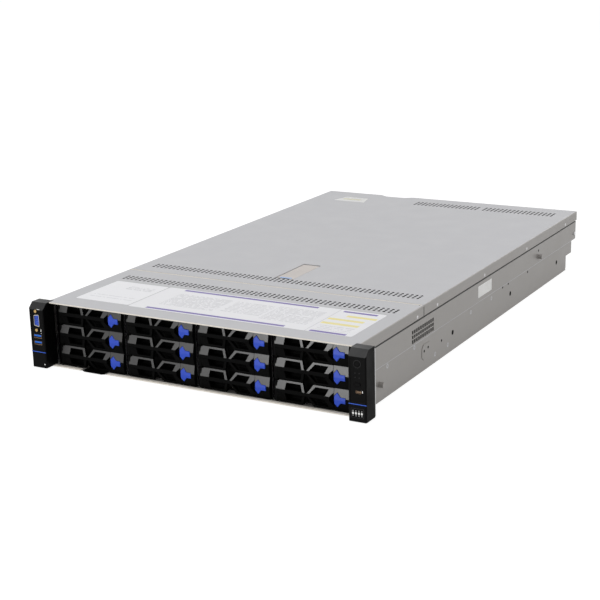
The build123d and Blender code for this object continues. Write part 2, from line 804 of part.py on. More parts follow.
def hard_drive():
    """A 3.5 inch drive: its case and the raised cover plate's step."""
    r = drive_w / 2
    y0 = at(DRIVE_Y)
    case = block(-r, r, y0, y0 + DRIVE_L, -DRIVE_H / 2, DRIVE_H / 2)
    step = block(-SOCKET_W / 2, SOCKET_W / 2, y0 + DRIVE_L - 5, y0 + DRIVE_L + 1, -DRIVE_H, -DRIVE_H / 2 + 8)
    return cut(case, [step])


def backplane():
    """The board behind the bays: a socket for each drive and a breathing slot above it."""
    y0 = at(BAY_DEPTH)
    edge = COLUMNS * col_pitch / 2 - 4
    board = block(-edge, edge, y0, y0 + BOARD_T, *BACKPLANE_Z)
    sockets, slots = [], []
    for column in range(COLUMNS):
        x = col_x(column)
        for row in range(ROWS):
            z = row_z(row)
            low = z - DRIVE_H / 2
            sockets.append(block(x - SOCKET_W / 2 + 1, x + SOCKET_W / 2 - 1, at(DRIVE_Y) + DRIVE_L - 4,
                                 y0 + BOARD_T / 2, low + 0.5, low + SOCKET_H))
        for row in range(ROWS - 1):
            z = row_z(row) - DRIVE_H / 2 + BREATHER_RISE
            slots.append(block(x - SOCKET_W + 4, x + SOCKET_W - 4, y0 - 1, y0 + BOARD_T + 1, z, z + BREATHER_H))
    return join(cut(board, slots), sockets)


# Fans

def fan_x(i):
    """Centre of a fan."""
    return (i - (FAN_N - 1) / 2) * FAN_PITCH


fan_z = SHEET + FAN_FLOOR + FAN_SIZE / 2
fan_y0 = at(FAN_Y)
fan_y1 = fan_y0 + FAN_DEPTH
rotor_y0 = fan_y0 + STRUT_T + 2
rotor_y1 = fan_y1 - STRUT_T - 2


def fan_frame(i):
    """A square fan frame with its bore, and a bar across the back that carries the motor plate and shaft."""
    x = fan_x(i)
    r = FAN_SIZE / 2
    frame = block(x - r, x + r, fan_y0, fan_y1, fan_z - r, fan_z + r)
    frame = cut(frame, [polygon_y(x, fan_z, FAN_BORE, BORE_FLATS, fan_y0 - 1, fan_y1 + 1)])
    back = fan_y1 - STRUT_T
    strut = STRUT_W / 2
    reach = FAN_BORE + 1
    parts = [
        block(x - reach, x + reach, back, fan_y1, fan_z - strut, fan_z + strut),
        polygon_y(x, fan_z, HUB_R, BORE_SIDES, back, fan_y1),
        rod_y(x, fan_z, SHAFT_R, rotor_y0 + 4, back + 1),
    ]
    return join(frame, parts)


def fan_rotor(i):
    """Hub with pitched blades, bored for the shaft."""
    x = fan_x(i)
    hub = polygon_y(x, fan_z, HUB_R, 2 * BLADES, rotor_y0, rotor_y1)
    tip = FAN_BORE - TIP_GAP
    length = (rotor_y1 - rotor_y0 - 2) / cos(radians(BLADE_PITCH)) - BLADE_T
    blades = []
    for k in range(BLADES):
        blade = Box(BLADE_T, length * 0.8, tip - HUB_R / 2)
        blade = Rot(0, 0, BLADE_PITCH) * blade
        blade = Pos(0, 0, (tip + HUB_R / 2) / 2 - 1) * blade
        blade = Pos(x, (rotor_y0 + rotor_y1) / 2, fan_z) * Rot(0, 360 / BLADES * k, 0) * blade
        blades.append(blade)
    bore = polygon_y(x, fan_z, (SHAFT_R + RUNNING) / cos(pi / BORE_SIDES), BORE_SIDES, rotor_y0 + 3, rotor_y1 + 1)
    return cut(join(hub, blades), [bore])


def fan_cage():
    """The floor tray and partitions that hold the fans, with the arm that carries the latch keeper."""
    edge = FAN_N * FAN_PITCH / 2
    gap = (FAN_PITCH - FAN_SIZE) / 2
    tray = block(-edge - gap, edge + gap, fan_y0, fan_y1 + 4, SHEET, SHEET + FAN_FLOOR)
    parts = []
    for i in range(FAN_N + 1):
        x = (i - FAN_N / 2) * FAN_PITCH
        parts.append(block(x - gap, x + gap, fan_y0, fan_y1, SHEET, fan_z + FAN_SIZE / 2))
    return [join(tray, parts), *keeper()]


def keeper():
    """The bar that the cover handle's fork pulls on, held between two cheeks in front of the fans."""
    cheek = FORK_W / 2 + KEEPER_GAP
    low, high = keeper_z - 3 * KEEPER_R, keeper_z + KEEPER_R
    plate_y = fan_y0 - KEEPER_PLATE
    cheeks = []
    for side in (-1, 1):
        cheeks.append(block(side * cheek, side * (cheek + KEEPER_PLATE), keeper_y - 2 * KEEPER_R, plate_y, low, high))
    plate = block(-cheek - KEEPER_PLATE, cheek + KEEPER_PLATE, plate_y, fan_y0, low, high)
    return [*cheeks, plate, rod_x(keeper_y, keeper_z, KEEPER_R, -cheek, cheek)]


# Mainboard

def mainboard():
    """The board on its standoffs, with processor sockets, memory slots, riser slots and rear ports."""
    x0, x1 = PCB_X
    y0, y1 = board_front, board_rear
    board = block(x0, x1, y0, y1, pcb_z, pcb_top)
    parts = []
    for x in (x0 + 8, x1 - 8):
        for y in (y0 + 8, (y0 + y1) / 2, y1 - 30):
            parts.append(polygon_z(x, y, STANDOFF_R, 6, SHEET, pcb_z + BOARD_T / 2))
    for x in CPU_X:
        parts.append(block(x - 35, x + 35, cpu_y - 38, cpu_y + 38, pcb_z + 1, pcb_top + SOCKET_T))
        for xm in dimm_places(x):
            parts.append(block(xm - SLOT_T / 2, xm + SLOT_T / 2, cpu_y - DIMM_L / 2 - 4, cpu_y + DIMM_L / 2 + 4,
                               pcb_z + 1, pcb_top + SLOT_H))
    loose = []
    for a, b in RISER_X:
        x = riser_board_x(a)
        y = slot_wall_y - WALL - RISER_L + RISER_LEAD
        loose.append(block(x - 4, x + 4, y, y + RISER_SLOT_L, pcb_top, pcb_top + RISER_SLOT_H))
    for x, w, h in PORTS.values():
        loose += port_shell(x, w, h)
    return [join(board, parts), *loose]


def port_shell(x, w, h):
    """A rear connector: a shell open at both ends, with its contact block at the inner end."""
    y1 = port_wall_y
    r = w / 2 + PORT_WALL
    z = pcb_top + PORT_WALL - CLEAR
    shell = block(x - r, x + r, y1 - PORT_DEPTH, y1, pcb_top, z + h + PORT_WALL)
    pocket = block(x - w / 2, x + w / 2, y1 - PORT_DEPTH - 1, y1 + 1, z, z + h)
    contacts = block(x - w / 2, x + w / 2, y1 - PORT_DEPTH, y1 - PORT_CAVITY, z, z + h)
    return [cut(shell, [pocket]), contacts]


def dimm_places(cpu):
    """The memory slots on both sides of a processor."""
    places = []
    for side in (-1, 1):
        for k in range(DIMM_PER_SIDE):
            places.append(cpu + side * (DIMM_OFFSET + k * DIMM_PITCH))
    return places


def heatsink(x):
    """A base on the processor socket with upright fins along the airflow, cut as one comb."""
    z0 = pcb_top + SOCKET_T
    z1 = z0 + SINK_BASE
    z2 = z0 + SINK_H
    r = SINK_W / 2
    pitch = (SINK_W - FIN_T) / (FIN_N - 1)
    points = [(x - r, z0), (x + r, z0)]
    for k in range(FIN_N):
        right = x + r - k * pitch
        points += [(right, z1), (right, z2), (right - FIN_T, z2), (right - FIN_T, z1)]
    return prism_y(points, cpu_y - SINK_L / 2, cpu_y + SINK_L / 2)


def memory_module(x):
    """A memory board standing in its slot."""
    z0 = pcb_top + SLOT_H
    return block(x - DIMM_T / 2, x + DIMM_T / 2, cpu_y - DIMM_L / 2, cpu_y + DIMM_L / 2, z0, z0 + DIMM_H - SLOT_H)


def riser_board_x(left):
    """Where a riser's board stands."""
    return left + 12


def riser(a, b):
    """A riser cage: roof, side and rear sheets in one, with slot covers and the upright riser board."""
    y1 = slot_wall_y - WALL
    y0 = y1 - RISER_L
    z0 = SHELF_Z + WALL + CLEAR
    roof = block(a, b, y0, y1, RISER_TOP - WALL, RISER_TOP)
    side = block(a, a + WALL, y0, y1, z0, RISER_TOP)
    rear_sheet = block(a, b, y1 - WALL, y1, z0, RISER_TOP)
    x = (a + b) / 2
    slots = []
    for i in range(SLOT_N):
        r = SLOT_SPAN / 2 - COVER_BORDER
        slots.append(block(x - r, x + r, y1 - WALL - 1, y1 + 1, slot_z(i) - SLOT_OPEN / 2 + COVER_BORDER, slot_z(i) + SLOT_OPEN / 2 - COVER_BORDER))
    xb = riser_board_x(a)
    y2 = y0 + RISER_LEAD
    board = block(xb - BOARD_T / 2, xb + BOARD_T / 2, y2, y2 + RISER_SLOT_L, pcb_top + RISER_SLOT_H, RISER_TOP - WALL)
    covers = []
    for i in range(SLOT_N):
        r = SLOT_SPAN / 2 - COVER_BORDER
        covers.append(block(x - r, x + r, y1 - WALL, y1, slot_z(i) - SLOT_OPEN / 2 + COVER_BORDER, slot_z(i) + SLOT_OPEN / 2 - COVER_BORDER))
    return [cut(join(roof, [side, rear_sheet]), slots), board, *covers]


# Power supplies

latch_axis_x = psu_x1 - PSU_LATCH_POCKET / 2
latch_axis_y = psu_y1 - PSU_LATCH_L + PSU_LATCH_TAB


def power_supply(i):
    """A supply: case, mains inlet pocket, fan recess, latch pocket and a fixed pull handle."""
    z0 = psu_z(i)
    zc = z0 + PSU_H / 2
    case = block(psu_x0, psu_x1, psu_y1 - PSU_L, psu_y1, z0, z0 + PSU_H)
    inlet_x = psu_x0 + 19
    inlet = block(inlet_x - INLET_W / 2, inlet_x + INLET_W / 2, psu_y1 - INLET_DEPTH, psu_y1 + 1, zc - INLET_H / 2, zc + INLET_H / 2)
    pocket = block(psu_x1 - PSU_LATCH_POCKET, psu_x1 + 1, latch_axis_y - 4, psu_y1 + 1,
                   zc - PSU_LATCH_H / 2 - CLEAR, zc + PSU_LATCH_H / 2 + CLEAR)
    fan = polygon_y(psu_x0 + 50, zc, 15, 16, psu_y1 - 2, psu_y1 + 1)
    body = cut(case, [inlet, pocket, fan])
    x0, x1 = psu_x0 + 37, psu_x0 + 37 + GRIP_SPAN - GRIP_W
    grip = block(x0, x1, psu_y1 - 3, psu_y1 + GRIP_REACH, zc - 3, zc + 3)
    gap = block(x0 + GRIP_W, x1 - GRIP_W, psu_y1 - 4, psu_y1 + GRIP_REACH - GRIP_W, zc - 5, zc + 5)
    pin = rod_z(latch_axis_x, latch_axis_y, PSU_LATCH_R, zc - PSU_LATCH_H / 2 - 1, zc + PSU_LATCH_H / 2 + 1)
    return join(body, [cut(grip, [gap]), pin])


def psu_latch(i):
    """The thumb latch on the supply's side: a strip on an upright pin, with a tab behind the case."""
    zc = psu_z(i) + PSU_H / 2
    z0, z1 = zc - PSU_LATCH_H / 2, zc + PSU_LATCH_H / 2
    t = PSU_LATCH_T
    outer = psu_x1 - CLEAR
    eye = polygon_z(latch_axis_x, latch_axis_y, PSU_LATCH_R + 1.1, 8, z0, z1)
    strip = block(outer - t, outer, latch_axis_y, psu_y1 + PSU_LATCH_TAB, z0, z1)
    web = block(latch_axis_x, outer, latch_axis_y - 1.5, latch_axis_y + 1.5, z0, z1)
    tab = block(outer - 3.2, outer, psu_y1 + 4, psu_y1 + PSU_LATCH_TAB, z0, z1)
    bore = (PSU_LATCH_R + RUNNING) / cos(pi / BORE_SIDES)
    bore = polygon_z(latch_axis_x, latch_axis_y, bore, BORE_SIDES, z0 - 1, z1 + 1)
    return cut(join(strip, [eye, web, tab]), [bore])


# Rack ears


def ear_housing(side):
    """The moulded ear: chamfered at the top front, with a sunk control panel and a light line."""
    back = -EAR_PLATE
    points = [
        (ear_front, EAR_FOOT), (ear_front, BODY_H - EAR_CHAMFER), (ear_front + EAR_CHAMFER, BODY_H),
        (back, BODY_H), (back, EAR_FOOT),
    ]
    x0, x1 = sorted((side * ear_inner, side * ear_outer))
    housing = prism_x(points, x0, x1)
    edges = housing.edges().filter_by(Axis.Z).sort_by(Axis.Y)[:2]
    housing = chamfer(edges, EAR_EDGE)
    lo, hi = x0 + PANEL_MARGIN, x1 - PANEL_MARGIN
    panel = block(lo, hi, ear_front - 1, ear_front + PANEL_DEPTH, LINE_Z + 2, PANEL_TOP)
    line = block(x0 - 1, x1 + 1, ear_front - 1, ear_front + PANEL_DEPTH, LINE_Z - LINE_H / 2, LINE_Z + LINE_H / 2)
    hole = polygon_y(side * (ear_outer - RACK_HOLE_INSET), RACK_HOLE_Z, RACK_HOLE_R + CLEAR, CAP_SIDES // 2, -RACK_HOLE_DEPTH, 1)
    return cut(housing, [panel, line, hole])


def rack_hole(side):
    """The hole for the screw that holds the ear to the rack post, blind behind the moulding."""
    return rod_y(side * (ear_outer - RACK_HOLE_INSET), RACK_HOLE_Z, RACK_HOLE_R, -RACK_HOLE_DEPTH, 1)


def ear_bracket(side):
    """The steel plate behind the moulding that meets the rack post, and the leg along the chassis wall."""
    plate = block(side * (inner_x - WALL), side * ear_outer, -EAR_PLATE, 0, EAR_FOOT + 1, BODY_H - 3)
    leg = block(side * (inner_x - WALL), side * inner_x, 0, EAR_LEG, SHEET + CLEAR, RAIL_BAND_H - 3)
    return [cut(plate, [rack_hole(side)]), leg]


def left_ear():
    """The ear with the display socket, its screws and two USB sockets."""
    x = -ear_middle
    housing = ear_housing(-1)
    tools = [
        block(x - VGA_H / 2, x + VGA_H / 2, ear_front - 1, ear_front + VGA_DEPTH, VGA_Z - VGA_W / 2, VGA_Z + VGA_W / 2),
    ]
    for z in USB_Z:
        tools.append(block(x - USB_W / 2, x + USB_W / 2, ear_front - 1, ear_front + USB_DEPTH, z - USB_H / 2, z + USB_H / 2))
    screws = []
    for side in (-1, 1):
        z = VGA_Z + side * SCREW_SPACING / 2
        screws.append(polygon_y(x, z, JACK_R, 6, ear_front - JACK_PROUD, ear_front + JACK_R))
    housing = cut(housing, tools)
    return [housing.cut(*screws), *screws, *ear_bracket(-1)]


def right_ear():
    """The ear with the switches and the small service port."""
    x = ear_middle
    back = ear_front + SWITCH_L + SWITCH_TRAVEL + CLEAR
    r = POWER_R + SWITCH_GAP
    w, h = ID_W / 2 + SWITCH_GAP, ID_H / 2 + SWITCH_GAP
    tools = [
        polygon_y(x, POWER_Z, r, CAP_SIDES, ear_front - 1, back),
        oval(x, ID_Z, w, h, ear_front - 1, back),
        block(x - MICRO_W / 2 + 1.5, x + MICRO_W / 2 + 1.5, ear_front - 1, ear_front + 5, MICRO_Z - MICRO_H / 2, MICRO_Z + MICRO_H / 2),
    ]
    return [cut(ear_housing(1), tools), *ear_bracket(1)]


def oval(x, z, w, h, y0, y1):
    """A bar along Y with half width w, half height h and cut-off corners."""
    c = h * OVAL_CUT
    points = []
    for sx, sz in ((1, 1), (-1, 1), (-1, -1), (1, -1)):
        pair = [(x + sx * w, z + sz * (h - c)), (x + sx * (w - c), z + sz * h)]
        points += pair if sx == sz else pair[::-1]
    return prism_y(points, y0, y1)


def power_button():
    """The round switch cap."""
    y0 = ear_front + PANEL_DEPTH - SWITCH_PROUD
    return polygon_y(ear_middle, POWER_Z, POWER_R, CAP_SIDES, y0, y0 + SWITCH_L)


def id_button():
    """The oval switch cap."""
    y0 = ear_front + PANEL_DEPTH - SWITCH_PROUD
    return oval(ear_middle, ID_Z, ID_W / 2, ID_H / 2, y0, y0 + SWITCH_L)


def service_tag():
    """The pull-out tag: a blade in the floor's notch, with thin wings that ride on the floor."""
    y0, y1 = front - TAG_REACH, front + TAG_L - CLEAR
    blade = block(TAG_X - TAG_W / 2, TAG_X + TAG_W / 2, y0, y1, CLEAR / 3, SHEET + TAG_WING_T)
    wings = block(TAG_X - TAG_W / 2 - TAG_WING, TAG_X + TAG_W / 2 + TAG_WING, front + TAG_L / 2, y1, SHEET, SHEET + TAG_WING_T)
    return join(blade, [wings])


# Write every node

save("chassis_base", *chassis_base())
save("front_top_panel", front_top_panel())
save("top_cover", top_cover())
save("cover_latch", cover_latch())
save("drive_cage", *[divider_wall(i) for i in range(COLUMNS + 1)])
save("backplane", backplane())
save("fan_cage", *fan_cage(), *[fan_frame(i) for i in range(FAN_N)])
for i in range(FAN_N):
    save(f"fan_rotor_{i + 1}", fan_rotor(i))
save("mainboard", *mainboard())
save("cpu_heatsinks", *[heatsink(x) for x in CPU_X])
save("memory_modules", *[memory_module(x) for cpu in CPU_X for x in dimm_places(cpu)])
save("riser_cages", *[piece for a, b in RISER_X for piece in riser(a, b)])
for i in range(2):
    save(f"power_supply_{i + 1}", power_supply(i))
    save(f"psu_latch_{i + 1}", psu_latch(i))
save("left_ear", *left_ear())
save("right_ear", *right_ear())
save("power_button", power_button())
save("id_button", id_button())
save("service_tag", service_tag())

frame_shape, drive_shape = carrier_frame(), hard_drive()
lever_shape, button_shape = carrier_lever(), release_button()
for column in range(COLUMNS):
    for row in range(ROWS):
        place = Pos(col_x(column), 0, row_z(row))
        bay = f"{column + 1}{row + 1}"
        save(f"drive_carrier_{bay}", place * frame_shape, place * drive_shape)
        save(f"carrier_lever_{bay}", place * lever_shape)
        save(f"release_button_{bay}", place * button_shape)
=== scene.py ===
import json
import math

import bmesh
import bpy
import numpy as np
from mathutils import Matrix

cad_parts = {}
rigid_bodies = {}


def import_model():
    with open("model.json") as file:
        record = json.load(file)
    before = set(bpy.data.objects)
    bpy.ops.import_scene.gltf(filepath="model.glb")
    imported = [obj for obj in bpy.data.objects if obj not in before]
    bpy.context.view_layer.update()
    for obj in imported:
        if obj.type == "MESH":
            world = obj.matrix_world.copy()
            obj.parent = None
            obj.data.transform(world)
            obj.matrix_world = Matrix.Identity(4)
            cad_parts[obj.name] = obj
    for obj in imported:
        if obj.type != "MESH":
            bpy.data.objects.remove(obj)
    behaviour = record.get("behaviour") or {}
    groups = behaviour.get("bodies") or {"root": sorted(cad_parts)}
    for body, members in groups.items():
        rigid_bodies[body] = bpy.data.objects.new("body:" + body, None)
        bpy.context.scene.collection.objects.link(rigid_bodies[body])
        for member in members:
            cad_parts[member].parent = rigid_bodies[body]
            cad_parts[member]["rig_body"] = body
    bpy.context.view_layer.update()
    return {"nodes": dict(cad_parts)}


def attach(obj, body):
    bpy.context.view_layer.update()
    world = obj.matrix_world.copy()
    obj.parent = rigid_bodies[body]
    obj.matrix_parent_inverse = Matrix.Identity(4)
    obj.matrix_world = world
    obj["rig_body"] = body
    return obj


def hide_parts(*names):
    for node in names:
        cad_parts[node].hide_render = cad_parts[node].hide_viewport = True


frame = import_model()
nodes = frame["nodes"]

# Sizes in millimetres, as the part's source has them. A depth is measured back from the front edge of the top.
MM = 0.001
MIDDLE_DEPTH = 390.4
TOP = 85.94
HALF = 223.5
BAND_X = 222.7
SHEET = 1.0
BEND = 1.3
FLANGE_Z = 72.0
DEPTH = 780.0
SEAM = 183.5
SEAM_GAP = 0.6
EAR_INNER = 218.1
EAR_BACK = 10.0
HOLE_STEP = 3.375
HOLE_ROW = 6.2
VENT_ENDS = (-203.5, 206.5)
VENT_FRONT = 134.3
VENT_MID = 204.8
VENT_REAR = 726.5
HOOK_DEPTHS = (225.0, 385.0, 550.0, 724.0)
LATCH = (223.4, 305.0)
PAN_HALF = 13.5
PAN_FLOOR = 76.8
COL_PITCH = (447.0 - 21.0) / 4
ROW_PITCH = (85.0 - 1.0 - 1.2 + 0.3) / 3
BEZEL_W = COL_PITCH - 3.6
BEZEL_H = ROW_PITCH - 0.3
EAR_X = 229.85
EAR_FRONT = -14.0
WALL_SKIN = 223.46
FLOOR_Z = -0.6
EASE_ANGLE = 28
SENSOR = 36.0
PHOTO_WIDTH = 600


def column_x(c):
    """Middle of a drive column, counted from 1 at the left."""
    return (c - 2.5) * COL_PITCH


def row_z(r):
    """Middle of a drive row, counted from 1 at the bottom."""
    return 1.6 + BEZEL_H / 2 + (r - 1) * ROW_PITCH


def tint(r, g, b):
    """A screen colour of 0 to 255 per channel as linear light."""
    c = np.array([r, g, b]) / 255
    return (*np.where(c <= 0.04045, c / 12.92, ((c + 0.055) / 1.055) ** 2.4).tolist(), 1.0)


# Mesh tools

def spot(x, depth, z):
    """Stacks places across, back and up into points."""
    return np.stack(np.broadcast_arrays(x, depth - MIDDLE_DEPTH, z), -1).astype(float)


def combine(parts):
    """Joins (points, faces) pairs into one pair."""
    points, faces, start = [], [], 0
    for p, f in parts:
        points.append(p)
        faces += [[i + start for i in face] for face in f]
        start += len(p)
    return np.concatenate(points), faces


def add_piece(name, shape, material, body, smooth=None, bevel=0.0, others=(), choose=None):
    """Puts (points in millimetres, faces) into an object that rides on a body. choose gives each face its material,
    0 for material and 1 up for others, from the faces' centres and normals."""
    points, faces = shape
    mesh = bpy.data.meshes.new(name)
    mesh.from_pydata((points * MM).tolist(), [], faces)
    bm = bmesh.new()
    bm.from_mesh(mesh)
    bmesh.ops.remove_doubles(bm, verts=bm.verts, dist=1e-7)
    bm.to_mesh(mesh)
    bm.free()
    for each in (material, *others):
        mesh.materials.append(each)
    if choose is not None:
        sort_faces(mesh, choose)
    piece = bpy.data.objects.new(name, mesh)
    bpy.context.scene.collection.objects.link(piece)
    if smooth is not None:
        mesh.shade_smooth()
        mesh.set_sharp_from_angle(angle=math.radians(smooth))
    if bevel:
        ease_edges(piece, bevel)
    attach(piece, body)
    return piece


def sort_faces(mesh, choose):
    """Gives each face the material that choose picks from the faces' centres (across, back, up in millimetres) and
    normals."""
    centres, normals = np.zeros(len(mesh.polygons) * 3), np.zeros(len(mesh.polygons) * 3)
    mesh.polygons.foreach_get("center", centres)
    mesh.polygons.foreach_get("normal", normals)
    picked = choose(centres.reshape(-1, 3) / MM + np.array([0, MIDDLE_DEPTH, 0]), normals.reshape(-1, 3))
    mesh.polygons.foreach_set("material_index", np.array(picked).astype(np.int32))


def ease_edges(piece, width):
    """Rounds every edge sharper than EASE_ANGLE by a small width; faces stay flat-shaded, so shallow folds stay crisp."""
    ease = piece.modifiers.new("eased_edges", "BEVEL")
    ease.width = width * MM
    ease.segments = 2
    ease.limit_method = "ANGLE"
    ease.angle_limit = math.radians(EASE_ANGLE)
    ease.use_clamp_overlap = True


def eased_copy(node, width, materials, choose=None, twin=None, shift=(0, 0, 0)):
    """A copy of a CAD node with its doubles merged and its edges rounded. choose gives each face its
    material, as in add_piece. With a twin, the twin's mesh is used, moved by shift in millimetres."""
    mesh = nodes[twin or node].data.copy()
    bm = bmesh.new()
    bm.from_mesh(mesh)
    bmesh.ops.translate(bm, verts=bm.verts, vec=[s * MM for s in shift])
    bmesh.ops.remove_doubles(bm, verts=bm.verts, dist=2e-6)
    bmesh.ops.dissolve_limit(bm, angle_limit=math.radians(0.8), verts=bm.verts, edges=bm.edges)
    bm.to_mesh(mesh)
    bm.free()
    mesh.materials.clear()
    for material in materials:
        mesh.materials.append(material)
    if choose is not None:
        sort_faces(mesh, choose)
    piece = bpy.data.objects.new("eased_" + node, mesh)
    bpy.context.scene.collection.objects.link(piece)
    if width:
        ease_edges(piece, width)
    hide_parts(node)
    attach(piece, nodes[node]["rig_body"])
    return piece


def folded(u, v, lift):
    """The top sheet at u across its flat pattern and v deep: flat, a quarter circle of radius BEND, then down.
    lift moves the point along the outward normal."""
    flat = HALF - BEND
    s = np.abs(u) - flat
    arc = BEND * math.pi / 2
    a = np.clip(s, 0, arc) / BEND
    x = np.minimum(np.abs(u), flat) + (BEND + lift) * np.sin(a)
    z = TOP - BEND + (BEND + lift) * np.cos(a) - np.clip(s - arc, 0, None)
    notch = np.clip(np.minimum(u + 123.0, -65.0 - u) / 12.0, 0, 1) * 8.0
    return spot(np.sign(u) * x, v - notch * np.clip((v - 762.0) / 18.0, 0, 1), z)


def pierced_sheet(us, vs, kind, place, thick, holes):
    """A sheet on a grid of lines us by vs. kind is 0 for no sheet, 1 for solid, and a key of holes for a cell with
    an eight-sided hole, whose share of the cell across and along holes gives. place(u, v, lift)
    carries the flat pattern into space; the back face is thick below, and walls close each hole and edge."""
    nu, nv = len(us), len(vs)
    flat_u, flat_v = [a.ravel() for a in np.meshgrid(us, vs, indexing="ij")]
    points_u, points_v = [flat_u], [flat_v]
    faces, walls = [], []
    i, j = np.nonzero(kind == 1)
    corner = i * nv + j
    faces += np.stack([corner, corner + nv, corner + nv + 1, corner + 1], 1).tolist()
    count = nu * nv
    turn = np.radians(22.5 + 45.0 * np.arange(8))
    for key, (share_u, share_v) in holes.items():
        i, j = np.nonzero(kind == key)
        if len(i) == 0:
            continue
        half_u, half_v = (us[i + 1] - us[i]) / 2, (vs[j + 1] - vs[j]) / 2
        ring_v = np.outer(half_v * share_v, np.sin(turn)) / math.cos(math.radians(22.5))
        ring_u = np.outer(half_u * share_u, np.cos(turn)) / math.cos(math.radians(22.5))
        points_u.append((ring_u + ((us[i] + us[i + 1]) / 2)[:, None]).ravel())
        points_v.append((ring_v + ((vs[j] + vs[j + 1]) / 2)[:, None]).ravel())
        ring = count + np.arange(len(i))[:, None] * 8 + np.arange(8)
        count += len(i) * 8
        c = np.stack([(i + 1) * nv + j + 1, i * nv + j + 1, i * nv + j, (i + 1) * nv + j], 1)
        for k in range(4):
            a, b = (2 * k + 7) % 8, 2 * k
            faces += np.stack([ring[:, a], c[:, k - 1], c[:, k], ring[:, b]], 1).tolist()
            faces += np.stack([ring[:, b], c[:, k], ring[:, b + 1]], 1).tolist()
        for k in range(8):
            walls.append(np.stack([ring[:, k], ring[:, (k + 1) % 8]], 1))
    here = np.pad(kind > 0, 1)
    for du, dv, a, b in ((1, 0, (1, 0), (1, 1)), (0, 1, (1, 1), (0, 1)),
                         (-1, 0, (0, 1), (0, 0)), (0, -1, (0, 0), (1, 0))):
        beside = here[1 + du:nu + du, 1 + dv:nv + dv]
        i, j = np.nonzero((kind > 0) & ~beside)
        walls.append(np.stack([(i + b[0]) * nv + j + b[1], (i + a[0]) * nv + j + a[1]], 1))
    u, v = np.concatenate(points_u), np.concatenate(points_v)
    points = np.concatenate([place(u, v, 0.0), place(u, v, -thick)])
    back = [[i + count for i in reversed(face)] for face in faces]
    wall = np.concatenate(walls)
    sides = np.stack([wall[:, 0], wall[:, 1], wall[:, 1] + count, wall[:, 0] + count], 1).tolist()
    faces = faces + back + sides
    used = np.unique(np.concatenate([np.array(f) for f in faces]))
    rank = np.zeros(len(points), int)
    rank[used] = np.arange(len(used))
    return points[used], [[int(rank[i]) for i in face] for face in faces]


def turned(profile, centre, axis, sides=24):
    """A profile of (radius, height) pairs spun about an axis through centre, closed where the radius is 0."""
    axis = np.array(axis, float)
    side = np.cross(axis, (0, 0, 1.0) if abs(axis[2]) < 0.5 else (1.0, 0, 0))
    side /= np.linalg.norm(side)
    other = np.cross(axis, side)
    profile = np.array(profile, float)
    angle = 2 * math.pi * np.arange(sides) / sides
    ring = np.cos(angle)[:, None] * side + np.sin(angle)[:, None] * other
    points = profile[:, 0, None, None] * ring[None] + profile[:, 1, None, None] * axis
    points = points.reshape(-1, 3) + spot(*centre)
    i, k = [a.ravel() for a in np.meshgrid(np.arange(len(profile) - 1), np.arange(sides), indexing="ij")]
    after = (k + 1) % sides
    faces = np.stack([i * sides + k, i * sides + after, (i + 1) * sides + after, (i + 1) * sides + k], 1)
    return points, faces.tolist()


def bars(boxes):
    """Square bars, each given by its lowest and highest places across, back and up."""
    order = [[0, 1, 3, 2], [4, 6, 7, 5], [0, 4, 5, 1], [2, 3, 7, 6], [0, 2, 6, 4], [1, 5, 7, 3]]
    made = []
    for x0, x1, d0, d1, z0, z1 in boxes:
        x, d, z = [a.ravel() for a in np.meshgrid(sorted((x0, x1)), (d0, d1), (z0, z1), indexing="ij")]
        made.append((spot(x, d, z), order))
    return combine(made)


def plate(outline, place, thick):
    """A flat plate from an outline in its own plane, carried into space by place(u, v, lift)."""
    u, v = np.array(outline, float).T
    n = len(u)
    points = np.concatenate([place(u, v, 0.0), place(u, v, -thick)])
    around = np.arange(n)
    after = (around + 1) % n
    faces = [around.tolist(), (around[::-1] + n).tolist()]
    faces += np.stack([after, around, around + n, after + n], 1).tolist()
    return points, faces


def rounded(u0, u1, v0, v1, radius, steps=5):
    """Outline of a rectangle with quarter-circle corners, counter-clockwise."""
    turn = np.radians(np.linspace(0, 90, steps))
    out = []
    for start, cu, cv in ((0, u1, v1), (90, u0, v1), (180, u0, v0), (270, u1, v0)):
        a = turn + math.radians(start)
        mu = cu - radius if cu == u1 else cu + radius
        mv = cv - radius if cv == v1 else cv + radius
        out += np.stack([mu + radius * np.cos(a), mv + radius * np.sin(a)], 1).tolist()
    return out


def on_top(u, v, lift):
    """The plane of the labels, on the top sheets."""
    return spot(u, v, TOP + 0.05 + lift)


def facing(front):
    """A plane that looks forward at a depth; u runs to the right and v up."""
    return lambda u, v, lift: spot(u, front - lift, v)


def on_side(x):
    """A plane on the right side wall; u runs back and v up."""
    return lambda u, v, lift: spot(x + lift, u, v)


# Shader tools

def node_group(name, inputs, outputs):
    """An empty shader group with named sockets, its input and output nodes."""
    group = bpy.data.node_groups.new(name, "ShaderNodeTree")
    for kind, label, value in inputs:
        socket = group.interface.new_socket(label, in_out="INPUT", socket_type=kind)
        if value is not None:
            socket.default_value = value
    for kind, label in outputs:
        group.interface.new_socket(label, in_out="OUTPUT", socket_type=kind)
    return group, group.nodes.new("NodeGroupInput"), group.nodes.new("NodeGroupOutput")


def put(socket, value):
    """Links an output into a socket, or sets the socket to a value."""
    if isinstance(value, bpy.types.NodeSocket):
        socket.id_data.links.new(value, socket)
    elif value is not None:
        socket.default_value = value


def calc(tree, operation, a, b=None, c=None):
    """One step of arithmetic in a node tree."""
    node = tree.nodes.new("ShaderNodeMath")
    node.operation = operation
    for socket, value in zip(node.inputs, (a, b, c)):
        put(socket, value)
    return node.outputs[0]


def noise(tree, vector, scale, detail=2.0, roughness=0.5):
    """A noise pattern of 0 to 1."""
    node = tree.nodes.new("ShaderNodeTexNoise")
    put(node.inputs["Vector"], vector)
    put(node.inputs["Scale"], scale)
    node.inputs["Detail"].default_value = detail
    node.inputs["Roughness"].default_value = roughness
    return node.outputs["Fac"]


